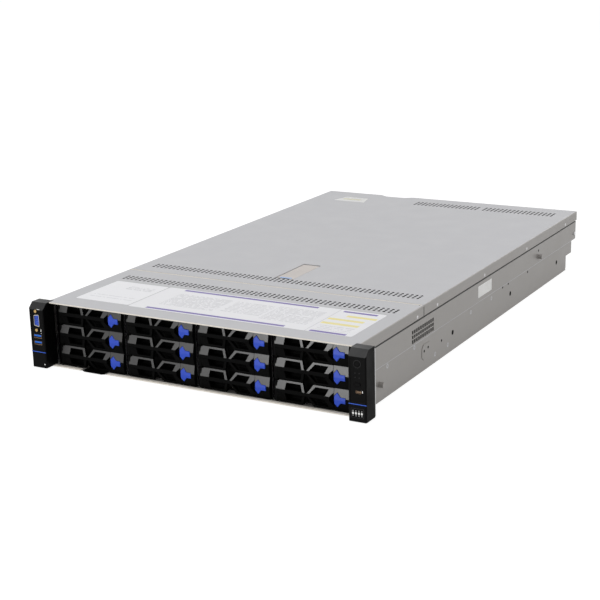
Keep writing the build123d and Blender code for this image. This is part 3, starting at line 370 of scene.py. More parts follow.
def spread(tree, value, low, high, to_low=0.0, to_high=1.0):
    """Maps low..high of a value onto to_low..to_high, held at the ends."""
    node = tree.nodes.new("ShaderNodeMapRange")
    for socket, v in zip(node.inputs, (value, low, high, to_low, to_high)):
        put(socket, v)
    return node.outputs[0]


def blend(tree, share, a, b):
    """Colour a where share is 0 and b where it is 1."""
    node = tree.nodes.new("ShaderNodeMix")
    node.data_type = "RGBA"
    put(node.inputs[0], share)
    put(node.inputs[6], a)
    put(node.inputs[7], b)
    return node.outputs[2]


def split(tree, vector):
    """The X, Y and Z of a vector."""
    node = tree.nodes.new("ShaderNodeSeparateXYZ")
    put(node.inputs[0], vector)
    return node.outputs


def grain_group():
    """Fine speckle and broad cloud: speckle = noise at Scale stretched by Stretch, cloud = noise 1/60 as fine."""
    group, ins, outs = node_group("speckle_and_cloud", [
        ("NodeSocketVector", "Place", None), ("NodeSocketFloat", "Scale", 900.0),
        ("NodeSocketVector", "Stretch", (1.0, 1.0, 1.0))],
        [("NodeSocketFloat", "Speckle"), ("NodeSocketFloat", "Cloud")])
    stretch = group.nodes.new("ShaderNodeVectorMath")
    stretch.operation = "MULTIPLY"
    put(stretch.inputs[0], ins.outputs["Place"])
    put(stretch.inputs[1], ins.outputs["Stretch"])
    put(outs.inputs["Speckle"], noise(group, stretch.outputs[0], ins.outputs["Scale"], 3.0, 0.6))
    broad = calc(group, "DIVIDE", ins.outputs["Scale"], 60.0)
    put(outs.inputs["Cloud"], noise(group, ins.outputs["Place"], broad, 3.0, 0.55))
    return group


def patch_group():
    """Mask of a rectangle: 1 where Left < X < Right and Near < Y < Far."""
    group, ins, outs = node_group("rectangle", [
        ("NodeSocketFloat", "X", 0.0), ("NodeSocketFloat", "Y", 0.0),
        ("NodeSocketFloat", "Left", 0.0), ("NodeSocketFloat", "Right", 1.0),
        ("NodeSocketFloat", "Near", 0.0), ("NodeSocketFloat", "Far", 1.0)],
        [("NodeSocketFloat", "Mask")])
    mask = 1.0
    for axis, low, high in (("X", "Left", "Right"), ("Y", "Near", "Far")):
        mask = calc(group, "MULTIPLY", mask, calc(group, "GREATER_THAN", ins.outputs[axis], ins.outputs[low]))
        mask = calc(group, "MULTIPLY", mask, calc(group, "LESS_THAN", ins.outputs[axis], ins.outputs[high]))
    put(outs.inputs["Mask"], mask)
    return group


def ruled_group():
    """Mask of ruled lines across a rectangle: frac(Y / Pitch) < Fill, broken where a noise along X is low."""
    group, ins, outs = node_group("ruled_lines", [
        ("NodeSocketFloat", "X", 0.0), ("NodeSocketFloat", "Y", 0.0),
        ("NodeSocketFloat", "Left", 0.0), ("NodeSocketFloat", "Right", 1.0),
        ("NodeSocketFloat", "Near", 0.0), ("NodeSocketFloat", "Far", 1.0),
        ("NodeSocketFloat", "Pitch", 0.003), ("NodeSocketFloat", "Fill", 0.4)],
        [("NodeSocketFloat", "Mask")])
    area = group.nodes.new("ShaderNodeGroup")
    area.node_tree = bpy.data.node_groups["rectangle"]
    for name in ("X", "Y", "Left", "Right", "Near", "Far"):
        put(area.inputs[name], ins.outputs[name])
    turns = calc(group, "DIVIDE", ins.outputs["Y"], ins.outputs["Pitch"])
    line = calc(group, "LESS_THAN", calc(group, "FRACT", turns), ins.outputs["Fill"])
    place = group.nodes.new("ShaderNodeCombineXYZ")
    put(place.inputs[0], calc(group, "MULTIPLY", ins.outputs["X"], 260.0))
    put(place.inputs[1], calc(group, "MULTIPLY", calc(group, "FLOOR", turns), 7.3))
    broken = calc(group, "GREATER_THAN", noise(group, place.outputs[0], 1.0, 1.0), 0.44)
    put(outs.inputs["Mask"], calc(group, "MULTIPLY", calc(group, "MULTIPLY", line, broken), area.outputs[0]))
    return group


grain_effect = grain_group()
patch_effect = patch_group()
ruled_effect = ruled_group()


def use(tree, group, **values):
    """Places a group in a tree with its inputs set or linked."""
    node = tree.nodes.new("ShaderNodeGroup")
    node.node_tree = group
    for name, value in values.items():
        put(node.inputs[name], value)
    return node.outputs


def finish(name, colour, rough, metal=0.0, scale=900.0, stretch=(1.0, 1.0, 1.0), fleck=0.06, cloud=0.06,
           rough_spread=0.08, bump=0.02, bump_depth=0.00002, specular=0.5, glow=None):
    """A solid finish: colour flecked by fine grain and clouded by broad noise, roughness that follows the broad noise,
    and a bump from the grain."""
    material = bpy.data.materials.new(name)
    material.use_nodes = True
    tree = material.node_tree
    shader = tree.nodes["Principled BSDF"]
    place = tree.nodes.new("ShaderNodeTexCoord").outputs["Object"]
    grain = use(tree, grain_effect, Place=place, Scale=scale, Stretch=stretch)
    speckle = spread(tree, grain["Speckle"], 0.3, 0.7, 1 - fleck, 1 + fleck)
    clouds = spread(tree, grain["Cloud"], 0.3, 0.7, 1 - cloud, 1 + cloud)
    level = calc(tree, "MULTIPLY", speckle, clouds)
    shade = tree.nodes.new("ShaderNodeVectorMath")
    shade.operation = "SCALE"
    shade.inputs[0].default_value = colour[:3]
    put(shade.inputs["Scale"], level)
    put(shader.inputs["Base Color"], shade.outputs[0])
    put(shader.inputs["Roughness"],
        spread(tree, grain["Cloud"], 0.3, 0.7, rough - rough_spread, rough + rough_spread))
    shader.inputs["Metallic"].default_value = metal
    shader.inputs["Specular IOR Level"].default_value = specular
    if bump:
        relief = tree.nodes.new("ShaderNodeBump")
        relief.inputs["Strength"].default_value = bump
        relief.inputs["Distance"].default_value = bump_depth
        put(relief.inputs["Height"], grain["Speckle"])
        put(shader.inputs["Normal"], relief.outputs[0])
    if glow:
        shader.inputs["Emission Color"].default_value = glow[0]
        shader.inputs["Emission Strength"].default_value = glow[1]
    return material


# Finishes
cover_steel = finish("zinc_plated_cover", tint(190, 190, 193), 0.45, 0.4, 1500, fleck=0.025, cloud=0.02, bump=0.25)
# The wall steel is the cover's steel made darker: painted shade for the side walls and the folded flanges.
shaded_wall_steel = finish("zinc_plated_wall_painted_shade", tint(160, 157, 154), 0.42, 0.55, 1500, fleck=0.03, cloud=0.04, bump=0.25)
bright_steel = finish("bright_steel", tint(205, 205, 206), 0.33, 0.9, 1100, (1, 0.05, 1), fleck=0.05, bump=0.2)
# The blackened steel is the real dark of the lamp frame and the unlit lamps, and painted shade on the latch pan, the
# seam strips and the strips under the flanges.
dark_steel_and_shade = finish("blackened_steel_and_painted_shade", tint(30, 30, 31), 0.5, 0.3, 1200, fleck=0.1, bump=0.2)
black_front = finish("black_front_plastic", tint(17, 15, 14), 0.34, 0, 2600, fleck=0.1, cloud=0.08,
                     rough_spread=0.03, bump=0.15, specular=0.8)
# The matt black is the real black of the mesh screens and the tag, and painted shade on the carriers' lower faces and
# the cage's front.
black_matt_and_shade = finish("black_plastic_and_painted_shade", tint(3, 3, 3), 0.5, 0, 2600, fleck=0.12, cloud=0.08, bump=0.35, specular=0.04)
black_ear = finish("black_ear_plastic", tint(3, 3, 3), 0.5, 0, 2600, fleck=0.12, cloud=0.08, bump=0.35, specular=0.07)
# The ear top colour is the ear plastic made lighter: painted light on the upward faces.
ear_lit_top = finish("black_ear_painted_light", tint(11, 11, 12), 0.42, 0, 2600, fleck=0.12, cloud=0.08, bump=0.35, specular=0.3)
black_deep = finish("black_recess_plastic", tint(9, 9, 10), 0.5, 0, 2600, fleck=0.1, bump=0.3, specular=0.3)
blue_plastic = finish("blue_release_plastic", tint(20, 64, 184), 0.38, 0, 2400, fleck=0.05, bump=0.3)
blue_socket = finish("blue_socket_plastic", tint(48, 84, 196), 0.4, 0, 2400, fleck=0.05, bump=0.25)
blue_tongue = finish("bright_blue_tongue", tint(0, 98, 200), 0.35, 0, 2400, fleck=0.05, bump=0.2)
pale_plastic = finish("pale_latch_plastic", tint(206, 199, 194), 0.5, 0, 2000, fleck=0.03, bump=0.3)
touch_blue = finish("pale_blue_touch_bar", tint(172, 196, 234), 0.45, 0, 2000, fleck=0.03, bump=0.2)
white_mark = finish("white_mark", tint(226, 226, 224), 0.5, 0, 1500, fleck=0.03, bump=0.1)
light_line = finish("blue_light_guide", tint(36, 78, 176), 0.25, 0, 1500, fleck=0.03, bump=0.05,
                    glow=(tint(40, 90, 210), 0.25))
brass = finish("brass_screw", tint(190, 160, 106), 0.3, 1.0, 1500, fleck=0.08, bump=0.2)
shiny_steel = finish("nickel_shell", tint(196, 192, 184), 0.25, 1.0, 1500, fleck=0.05, bump=0.15)
dark_shell = finish("tarnished_shell", tint(134, 112, 92), 0.35, 0.9, 1500, fleck=0.08, bump=0.15)
board_green = finish("green_board", tint(26, 92, 62), 0.4, 0, 700, fleck=0.08, bump=0.2)
aluminium = finish("mill_aluminium", tint(205, 206, 208), 0.35, 0.95, 1200, (1, 1, 0.06), fleck=0.05, bump=0.2)
# The pale edge colour is painted highlight, for steel edges that catch the light.
edge_highlight = finish("painted_edge_highlight", tint(222, 216, 206), 0.6, 0, 1500, fleck=0.03, bump=0.1)
# The vent holes' walls are near black: painted shade for the dark inside seen through the holes.
vent_wall_shade = finish("vent_wall_painted_shade", tint(38, 38, 39), 0.6, 0.2, 1200, fleck=0.1, bump=0.1, specular=0.2)
# The open hole black is painted shade: near-black discs, cups and plates stand for the dark inside of holes and
# openings.
hole_shade = finish("open_hole_painted_shade", tint(5, 5, 5), 0.8, 0, 900, fleck=0.1, bump=0.1, specular=0.1)

# The chassis's own sheets take the darker wall steel, painted shade for its side walls.
for name, node in nodes.items():
    if name in ("chassis_base", "front_top_panel", "top_cover"):
        kept = shaded_wall_steel
    elif name in ("drive_cage", "riser_cages", "power_supply_1", "power_supply_2"):
        kept = bright_steel
    elif name in ("backplane", "mainboard", "memory_modules"):
        kept = board_green
    elif name == "cpu_heatsinks":
        kept = aluminium
    elif name.startswith("psu_latch"):
        kept = blue_plastic
    else:
        kept = black_front
    node.data.materials.clear()
    node.data.materials.append(kept)

# Top sheets
flat_edge = HALF - BEND
arc = BEND * math.pi / 2
skirt_end = flat_edge + arc + (TOP - BEND - FLANGE_Z)
bend_lines = flat_edge + arc * np.linspace(0, 1, 6)
vent_lines = HOLE_STEP * np.arange(-61, 62)
across = np.unique(np.round(np.concatenate([
    [-skirt_end, skirt_end, -EAR_INNER, EAR_INNER, -PAN_HALF, PAN_HALF], -bend_lines, bend_lines, vent_lines]), 4))
mid_u = (across[1:] + across[:-1]) / 2
HOLES = {2: (1.0, 0.78)}


def vent_rows(start, count):
    """Depths of the lines between rows of holes."""
    return start + HOLE_ROW * np.arange(count + 1)


def vent_field(back, rows, first, last, row_from):
    """The cells of one vent field that hold a hole: every second cell across, in line from row to row."""
    i = np.floor(mid_u / HOLE_STEP).astype(int)[:, None]
    j = np.arange(len(back) - 1)[None]
    inside = (mid_u[:, None] > first) & (mid_u[:, None] < last) & (j >= row_from) & (j < row_from + rows)
    return inside & (i % 2 == 0)


def sheet_faces(p, n):
    """0 for the flat top; 1 for the folded side flanges, a darker copy of the same steel as painted shade; 2 for the
    walls of the vent holes, near black as painted shade.
    """
    depth = p[:, 1]
    near_vent = np.zeros(len(p), bool)
    for start, count in ((VENT_FRONT, 3), (VENT_MID, 3), (VENT_REAR, 4)):
        near_vent |= (depth > start) & (depth < start + count * HOLE_ROW)
    near_vent &= np.abs(p[:, 0]) < 210
    return np.where(np.abs(p[:, 0]) > HALF - 0.75 * BEND, 1, np.where(near_vent & (np.abs(n[:, 2]) < 0.5), 2, 0))


# Front panel over the drive bays
back = np.array([0.0, EAR_BACK, 60.0, 120.0, *vent_rows(VENT_FRONT, 3), SEAM])
kind = np.ones((len(mid_u), len(back) - 1), int)
kind[np.abs(mid_u) > EAR_INNER, 0] = 0
kind[vent_field(back, 3, *VENT_ENDS, 4)] = 2
front_panel = add_piece("front_panel_sheet", pierced_sheet(across, back, kind, folded, SHEET, HOLES), cover_steel,
                        "chassis", smooth=30, others=(shaded_wall_steel, vent_wall_shade), choose=sheet_faces)
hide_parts("front_top_panel")

# Sliding cover
back = np.array([SEAM + SEAM_GAP, *vent_rows(VENT_MID, 3), LATCH[1], 420.0, 540.0, 660.0, *vent_rows(VENT_REAR, 4),
                 762.0, 771.0, DEPTH])
kind = np.ones((len(mid_u), len(back) - 1), int)
kind[vent_field(back, 3, *VENT_ENDS, 1)] = 2
for x0, x1 in ((-45.0, 75.5), (79.5, 203.5)):
    kind[vent_field(back, 4, x0, x1, 9)] = 2
kind[np.abs(mid_u) < PAN_HALF, 4] = 0
cover = add_piece("sliding_cover_sheet", pierced_sheet(across, back, kind, folded, SHEET, HOLES), cover_steel,
                  "cover", smooth=30, others=(shaded_wall_steel, vent_wall_shade), choose=sheet_faces)
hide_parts("top_cover")
pan_top = TOP - 0.5
# The latch's steel pan is drawn near black: painted shade for the gap around the handle.
add_piece("shaded_latch_pan", bars([
    (-PAN_HALF - 0.8, PAN_HALF + 0.8, LATCH[0] - 0.8, LATCH[1] - 19.2, PAN_FLOOR - 0.8, PAN_FLOOR),
    (-PAN_HALF - 0.8, -PAN_HALF - 0.02, LATCH[0] - 0.8, LATCH[1] + 0.8, PAN_FLOOR - 0.8, pan_top),
    (PAN_HALF + 0.02, PAN_HALF + 0.8, LATCH[0] - 0.8, LATCH[1] + 0.8, PAN_FLOOR - 0.8, pan_top),
    (-PAN_HALF - 0.8, PAN_HALF + 0.8, LATCH[0] - 0.8, LATCH[0] - 0.02, PAN_FLOOR - 0.8, pan_top),
    (-PAN_HALF - 0.8, PAN_HALF + 0.8, LATCH[1] + 0.02, LATCH[1] + 0.8, PAN_FLOOR - 0.8, pan_top)]),
    dark_steel_and_shade, "cover", bevel=0.1)
add_piece("latch_pivot", turned([(0, -14.2), (1.5, -14.2), (1.5, 14.2), (0, 14.2)], (0, 299.0, 81.0), (1, 0, 0), 16),
          shiny_steel, "cover", smooth=40)
add_piece("cover_hooks", bars([
    (s * 219.9, s * 223.0, d - 2, d + 2, 73.95, 76.45) for s in (-1, 1) for d in HOOK_DEPTHS]),
    shaded_wall_steel, "cover", bevel=0.2)
add_piece("cover_rear_hem", bars([(-65.0, 213.0, DEPTH - 1.0, DEPTH, 77.0, TOP - 0.5)]), cover_steel, "cover",
          bevel=0.3)

# Painted highlights: pale strips on the panel's front hem, on the fold along the seam and on the floor's front lip,
# lighter than their steel where the edges catch the light
add_piece("panel_front_hem_highlight", bars([(-EAR_INNER + 0.3, EAR_INNER - 0.3, -0.9, -0.05, 84.6, TOP + 0.03)]),
          edge_highlight, "chassis")
add_piece("panel_rear_fold_highlight", bars([(-221.5, 221.5, SEAM - 3.2, SEAM - 0.1, TOP - 0.3, TOP + 0.05)]),
          edge_highlight, "chassis")
add_piece("floor_front_lip_highlight", bars([(x0, x1, -1.0, 4.0, 0.05, 1.5) for x0, x1 in (
    (-EAR_INNER + 0.3, -173.8), (-132.2, EAR_INNER - 0.3))]), edge_highlight, "chassis")
# Dark strips on the side flanges at the seam: painted shade for the gap between panel and cover.
add_piece("panel_seam_shade", bars([
    (s * WALL_SKIN, s * 223.56, SEAM - 1.1, SEAM - 0.1, 72.2, 83.6) for s in (-1, 1)]),
    dark_steel_and_shade, "chassis")
add_piece("panel_pin_hole", turned([(0, 0.04), (0.9, 0.04), (0.9, -0.1), (0, -0.1)], (219.0, 180.0, TOP), (0, 0, 1), 12),
          hole_shade, "chassis")
add_piece("vent_backing", bars([
    (x - 10, x + 10, VENT_FRONT - 1, VENT_FRONT + 3 * HOLE_ROW + 1, TOP - SHEET - 0.5, TOP - SHEET - 0.1)
    for x in (-104.5, 110.8)]), bright_steel, "chassis")

# Cover latch handle
eased_copy("cover_latch", 0.25, [pale_plastic])
add_piece("latch_touch_bar", plate(rounded(-9.0, 9.0, 227.3, 232.0, 1.2),
                                   lambda u, v, lift: spot(u, v, 85.85 + lift), 0.5), touch_blue, "cover_handle", bevel=0.12)
add_piece("latch_finger_mark", turned([(0, 0), (2.6, 0), (3.2, 0.12), (3.8, 0.0), (0, -0.1)],
                                      (0, 268.0, 85.62), (0, 0, 1), 20), pale_plastic, "cover_handle", smooth=40)

# Drive carriers
def mesh_screen(c, r):
    """Punched sheet behind a carrier's bars: eight-sided holes on a chessboard of cells, in the plane of the frame."""
    left = column_x(c) - BEZEL_W / 2
    us = left + np.linspace(13.2, 77.8, 42)
    vs = row_z(r) + np.linspace(-10.9, 10.9, 15)
    i, j = np.meshgrid(np.arange(41), np.arange(14), indexing="ij")
    inner = (i > 0) & (i < 40) & (j > 0) & (j < 13)
    kind = np.where(inner & ((i + j) % 2 == 0), 2, 1)
    return pierced_sheet(us, vs, kind, facing(15.9), 0.6, {2: (0.95, 0.95)})


# The cage's faces near the front and at its outer sides are near black: painted shade in the gaps between the carriers.
eased_copy("drive_cage", 0, [bright_steel, black_matt_and_shade], lambda p, n: (p[:, 1] < 60) | (np.abs(p[:, 0]) > 200))


def lit_and_shaded_faces(p, n):
    """0 for the faces that lean back above the middle bar, in the lighter plastic as painted light from above; 1 for
    the rest, in near-black as painted shade.
    """
    return np.where((n[:, 2] > 0.08) & (n[:, 1] < -0.5), 0, 1)


for c in range(1, 5):
    for r in range(1, 4):
        eased_copy(f"carrier_lever_{c}{r}", 0.22, [black_front, black_matt_and_shade], lit_and_shaded_faces,
                   twin="carrier_lever_11", shift=(column_x(c) - column_x(1), 0, row_z(r) - row_z(1)))
        eased_copy(f"release_button_{c}{r}", 0.35, [blue_plastic])
        eased_copy(f"drive_carrier_{c}{r}", 0.25, [black_front, black_matt_and_shade], lit_and_shaded_faces)
        add_piece(f"mesh_screen_{c}{r}", mesh_screen(c, r), black_matt_and_shade, f"carrier_{c}{r}")

# Rack ears
def ear_faces(p, n):
    """Housing 0, steel bracket 1, brass screws 2, the housing's top 3, a lighter copy of the housing plastic as painted
    light.
    """
    to_screw = np.minimum(np.hypot(p[:, 0] + EAR_X, p[:, 2] - 76.0), np.hypot(p[:, 0] + EAR_X, p[:, 2] - 51.0))
    screw = (to_screw < 2.7) & ((np.abs(n[:, 1]) < 0.5) | (p[:, 1] < EAR_FRONT - 0.05)) & (p[:, 1] < -11.0)
    return np.where(p[:, 1] > 8.45, 1, np.where(screw, 2, np.where(n[:, 2] > 0.4, 3, 0)))


eased_copy("left_ear", 0.4, [black_ear, bright_steel, brass, ear_lit_top], ear_faces)
# On the right ear the top, index 2, takes the lighter copy of the plastic as painted light.
eased_copy("right_ear", 0.4, [black_ear, bright_steel, ear_lit_top],
           lambda p, n: np.where(p[:, 1] > 8.45, 1, np.where(n[:, 2] > 0.4, 2, 0)))
eased_copy("power_button", 0.5, [black_ear])
eased_copy("id_button", 0.4, [black_ear])
tag = add_piece("pull_out_tag", combine([
    bars([(-170.0, -136.0, -1.4, 61.7, 0.12, 1.35), (-173.0, -133.0, 31.0, 61.7, 1.02, 1.38)]),
    plate([(-167.0, -3.2), (-139.0, -3.2), (-137.0, -1.4), (-169.0, -1.4)],
          lambda u, v, lift: spot(u, v, 1.35 + lift), 1.1)]), black_matt_and_shade, "tag")
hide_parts("service_tag")

panel = EAR_FRONT + 0.5


def d_outline(x, z, w, h, slant, radius=1.0):
    """Outline of an upright D-shaped socket: w across, h high, narrower by slant on its left."""
    u, v = np.array(rounded(-w / 2, w / 2, -h / 2, h / 2, radius)).T
    return np.stack([x + u, z + v * (1 - slant * (0.5 - u / w))], 1).tolist()


def ring_wall(outline, share, front, back):
    """A thin wall along an outline: the outline and its copy scaled by share about the middle, front to back."""
    o = np.array(outline)
    inner = o.mean(0) + (o - o.mean(0)) * share
    n = len(o)
    points = np.concatenate([spot(o[:, 0], front, o[:, 1]), spot(inner[:, 0], front, inner[:, 1]),
                             spot(inner[:, 0], back, inner[:, 1]), spot(o[:, 0], back, o[:, 1])])
    k = np.arange(n)
    after = (k + 1) % n
    faces = np.concatenate([np.stack([k + a * n, k + b * n, after + b * n, after + a * n], 1)
                            for a, b in ((0, 1), (1, 2), (2, 3), (3, 0))])
    return points, faces.tolist()


def pins(x, front, z, xs, zs, radius):
    """Small round pin holes as shallow cups, at each of xs by zs about a middle."""
    cup = [(0, 0.0), (radius, 0.0), (radius, 0.06), (radius * 1.3, 0.06), (radius * 1.3, -0.2), (0, -0.2)]
    return combine([turned(cup, (x + a, front, z + b), (0, -1, 0), 8) for a in xs for b in zs])


socket_front = panel + 0.4
add_piece("display_socket_shell", ring_wall(d_outline(-EAR_X, 63.5, 8.2, 16.4, 0.14, 1.6), 0.88, panel - 0.1, panel + 5.0),
          shiny_steel, "chassis")
add_piece("display_socket_insert", plate(d_outline(-EAR_X, 63.5, 6.6, 14.0, 0.14, 1.2), facing(socket_front), 4.8),
          blue_socket, "chassis", bevel=0.3)
add_piece("display_socket_holes", pins(-EAR_X, socket_front, 63.5, (-1.9, 0.0, 1.9), np.linspace(-4.6, 4.6, 5), 0.42),
          hole_shade, "chassis")
for i, z in enumerate((33.4, 42.2)):
    add_piece(f"front_usb_shell_{i + 1}", ring_wall(rounded(-EAR_X - 6.2, -EAR_X + 6.2, z - 2.5, z + 2.5, 0.5), 0.95,
                                                    panel, panel + 11.0), dark_shell, "chassis")
    add_piece(f"front_usb_tongue_{i + 1}", bars([(-EAR_X - 5.6, -EAR_X + 5.6, panel + 0.2, panel + 10.5, z - 0.1, z + 2.2)]),
              blue_tongue, "chassis", bevel=0.15)
    add_piece(f"front_usb_spring_{i + 1}", bars([(-EAR_X - 5.6, -EAR_X + 5.6, panel + 0.3, panel + 9.0, z - 2.2, z - 1.5)]),
              dark_shell, "chassis", bevel=0.1)
add_piece("left_ear_marks", combine([
    plate(rounded(-EAR_X + 2.2, -EAR_X + 6.4, 78.4, 79.2, 0.3), facing(EAR_FRONT - 0.12), 0.1),
    plate(rounded(-EAR_X + 5.6, -EAR_X + 6.6, 46.6, 47.6, 0.4), facing(panel - 0.06), 0.08),
    plate(rounded(-EAR_X + 5.6, -EAR_X + 6.6, 48.8, 52.4, 0.4), facing(panel - 0.06), 0.08),
    turned([(0, 0.0), (0.9, 0.0), (0.9, -0.3), (0, -0.3)], (-EAR_X + 8.8, EAR_FRONT - 0.12, 5.6), (0, -1, 0), 12)]),
    white_mark, "chassis")

# Right ear switches and lamps
add_piece("power_ring", turned([(4.15, -0.1), (4.15, 0.28), (4.7, 0.28), (4.9, -0.1), (4.15, -0.1)],
                               (EAR_X, panel, 69.5), (0, -1, 0), 32), black_deep, "chassis", smooth=30)
add_piece("status_lamps_off", combine([
    turned([(0, 0.0), (0.55, 0.0), (0.55, 0.1), (0, 0.12)], (EAR_X + a, panel, 56.0 + b), (0, -1, 0), 10)
    for a in (-2.6, 2.6) for b in (-2.6, 2.6)]), dark_steel_and_shade, "chassis")
add_piece("service_port_shell", ring_wall(rounded(EAR_X - 2.0, EAR_X + 5.0, 34.7, 37.7, 0.8), 0.88, panel - 0.1, panel + 4.0),
          dark_shell, "chassis")
add_piece("service_port_tongue", bars([(EAR_X - 1.2, EAR_X + 4.2, panel + 0.4, panel + 4.2, 35.6, 36.7)]),
          dark_shell, "chassis", bevel=0.1)
add_piece("service_port_lamp", plate(rounded(EAR_X + 6.0, EAR_X + 7.0, 35.6, 38.4, 0.4), facing(panel - 0.08), 0.2),
          white_mark, "chassis")
add_piece("lamp_frame", ring_wall(rounded(EAR_X - 8.2, EAR_X + 8.2, 5.2, 16.6, 0.6), 0.95, EAR_FRONT - 0.12, EAR_FRONT + 0.3),
          dark_steel_and_shade, "chassis")
lamps = [(EAR_X + x, w, z0, z1) for x in (-5.6, -1.9, 1.9, 5.6)
         for w, z0, z1 in ((2.3, 9.4, 12.2), (0.5, 7.2, 8.8), (0.5, 12.8, 14.4))]
add_piece("white_lamps", combine([
    plate(rounded(x - w / 2, x + w / 2, z0, z1, min(w, z1 - z0) * 0.4), facing(EAR_FRONT - 0.12), 0.2)
    for x, w, z0, z1 in lamps]), white_mark, "chassis")
for word, s in (("left", -1), ("right", 1)):
    x0, x1 = sorted((s * (EAR_INNER + 0.4), s * 241.2))
    add_piece(f"light_line_{word}", bars([(x0, x1, EAR_FRONT + 0.12, EAR_FRONT + 0.6, 21.05, 21.95)]), light_line, "chassis",
              bevel=0.1)

# Details of the side walls
def wall_plane(z):
    """Outer face of the side wall: the rail band below 42 mm is set in."""
    return BAND_X if z < 42 else HALF


DIMPLE = [(2.3, -0.1), (2.2, 0.12), (1.7, 0.3), (0.9, 0.38), (0, 0.4)]
RIVETS = ((79.5, 38.0), (156.0, 38.6), (260.4, 12.0), (219.5, 11.2), (338.5, 35.2), (413.0, 35.4))
WIDE_HOLES = ((276.2, 24.4), (486.6, 23.6), (687.5, 22.8))
SMALL_HOLES = ((240.0, 23.6), (456.0, 40.4), (478.0, 40.4), (557.7, 38.6), (601.4, 61.4))
for word, s in (("left", -1), ("right", 1)):
    out = (s, 0, 0)
    add_piece(f"shoulder_shadow_{word}", bars([(s * WALL_SKIN, s * 223.54, 12.0, 775.0, 69.9, 71.2)]),
              dark_steel_and_shade, "chassis")
    # A pale strip in the cover's steel along the top of the rail band: painted highlight on its fold.
    add_piece(f"band_fold_highlight_{word}", bars([(s * WALL_SKIN, s * 223.54, 12.0, 775.0, 42.4, 43.1)]),
              cover_steel, "chassis")
    add_piece(f"vent_shade_{word}", bars([(s * 220.6, s * 221.0, 144.0, 217.0, 43.0, 66.0)]), hole_shade, "chassis")
    add_piece(f"flush_rivets_{word}", combine([
        turned([(0, -0.3), (3.1, -0.3), (3.1, 0.05), (2.7, 0.16), (2.3, 0.02), (1.1, 0.0), (0.8, -0.12), (0, -0.12)],
               (s * wall_plane(z), d, z), out, 20) for d, z in RIVETS]), cover_steel, "chassis", smooth=35)
    holes = [(d, z, 3.4) for d, z in WIDE_HOLES] + [(d, z, 1.8) for d, z in SMALL_HOLES]
    add_piece(f"wall_hole_rims_{word}", combine([
        turned([(r, 0.02), (r + 0.25, 0.14), (r + 0.7, 0.02), (r + 0.7, -0.2), (r, -0.2), (r, 0.02)],
               (s * wall_plane(z), d, z), out, 20) for d, z, r in holes]), shaded_wall_steel, "chassis", smooth=35)
    # Near-black discs on the wall stand for its holes: painted shade.
    add_piece(f"wall_holes_{word}", combine([
        turned([(0, 0.03), (r + 0.1, 0.03), (r + 0.1, -0.2), (0, -0.2)], (s * wall_plane(z), d, z), out, 20)
        for d, z, r in holes]), hole_shade, "chassis")
    add_piece(f"dimple_holes_{word}", combine([
        turned([(0, 0.64), (1.8, 0.64), (1.8, 0.4), (0, 0.4)], (s * BAND_X, d, z), out, 18)
        for d, z in ((184.5, 25.5), (196.5, 27.5))]), hole_shade, "chassis")
    add_piece(f"flange_dimples_{word}", combine([
        turned(DIMPLE, (s * HALF, d, 75.3), out, 20)
        for d in HOOK_DEPTHS]), bright_steel, "cover", smooth=50)
    add_piece(f"panel_dimple_{word}", turned(DIMPLE, (s * HALF, 164.0, 75.3), out, 20), bright_steel, "chassis",
              smooth=50)
    add_piece(f"vent_cross_bars_{word}", bars([
        (s * 222.5, s * 223.44, 146.8, 214.4, z - 0.75, z + 0.75) for z in (50.67, 56.33)]), shaded_wall_steel, "chassis")
    add_piece(f"stud_caps_{word}", combine([
        turned([(3.5, -0.8), (3.3, 0.05), (2.2, 0.05), (1.9, -0.3), (0, -0.3)], (s * (x + 5.9), d, z), out, 24)
        for d, z, x in ((58.0, 21.4, BAND_X), (602.0, 52.0, HALF))]), bright_steel, "chassis", smooth=35)
    if s > 0:
        add_piece("rear_wall_stud", turned([(2.9, -0.2), (2.9, 1.6), (2.5, 2.0), (1.4, 2.0), (1.2, 1.7), (0, 1.7)],
                                           (HALF, 767.8, 52.0), out, 24), bright_steel, "chassis", smooth=35)

# Printed labels, kept bare: ruled grey lines and plain coloured bars only
def label(name, colour, bars_of, lines_of):
    """Paper with plain bars (rectangle, colour) and ruled grey lines (rectangle, pitch, fill), across and back."""
    material = finish(name, colour, 0.42, 0, 3000, fleck=0.015, cloud=0.01, bump=0.05)
    tree = material.node_tree
    shader = tree.nodes["Principled BSDF"]
    base = shader.inputs["Base Color"].links[0].from_socket
    x, y, _ = split(tree, tree.nodes.new("ShaderNodeTexCoord").outputs["Object"])
    for (left, right, near, far), bar_colour in bars_of:
        mask = use(tree, patch_effect, X=x, Y=y, Left=left * MM, Right=right * MM,
                   Near=(near - MIDDLE_DEPTH) * MM, Far=(far - MIDDLE_DEPTH) * MM)[0]
        base = blend(tree, mask, base, bar_colour)
    for (left, right, near, far), pitch, fill in lines_of:
        mask = use(tree, ruled_effect, X=x, Y=y, Left=left * MM, Right=right * MM,
                   Near=(near - MIDDLE_DEPTH) * MM, Far=(far - MIDDLE_DEPTH) * MM, Pitch=pitch * MM, Fill=fill)[0]
        base = blend(tree, calc(tree, "MULTIPLY", mask, 0.45), base, tint(150, 150, 156))
    put(shader.inputs["Base Color"], base)
    return material


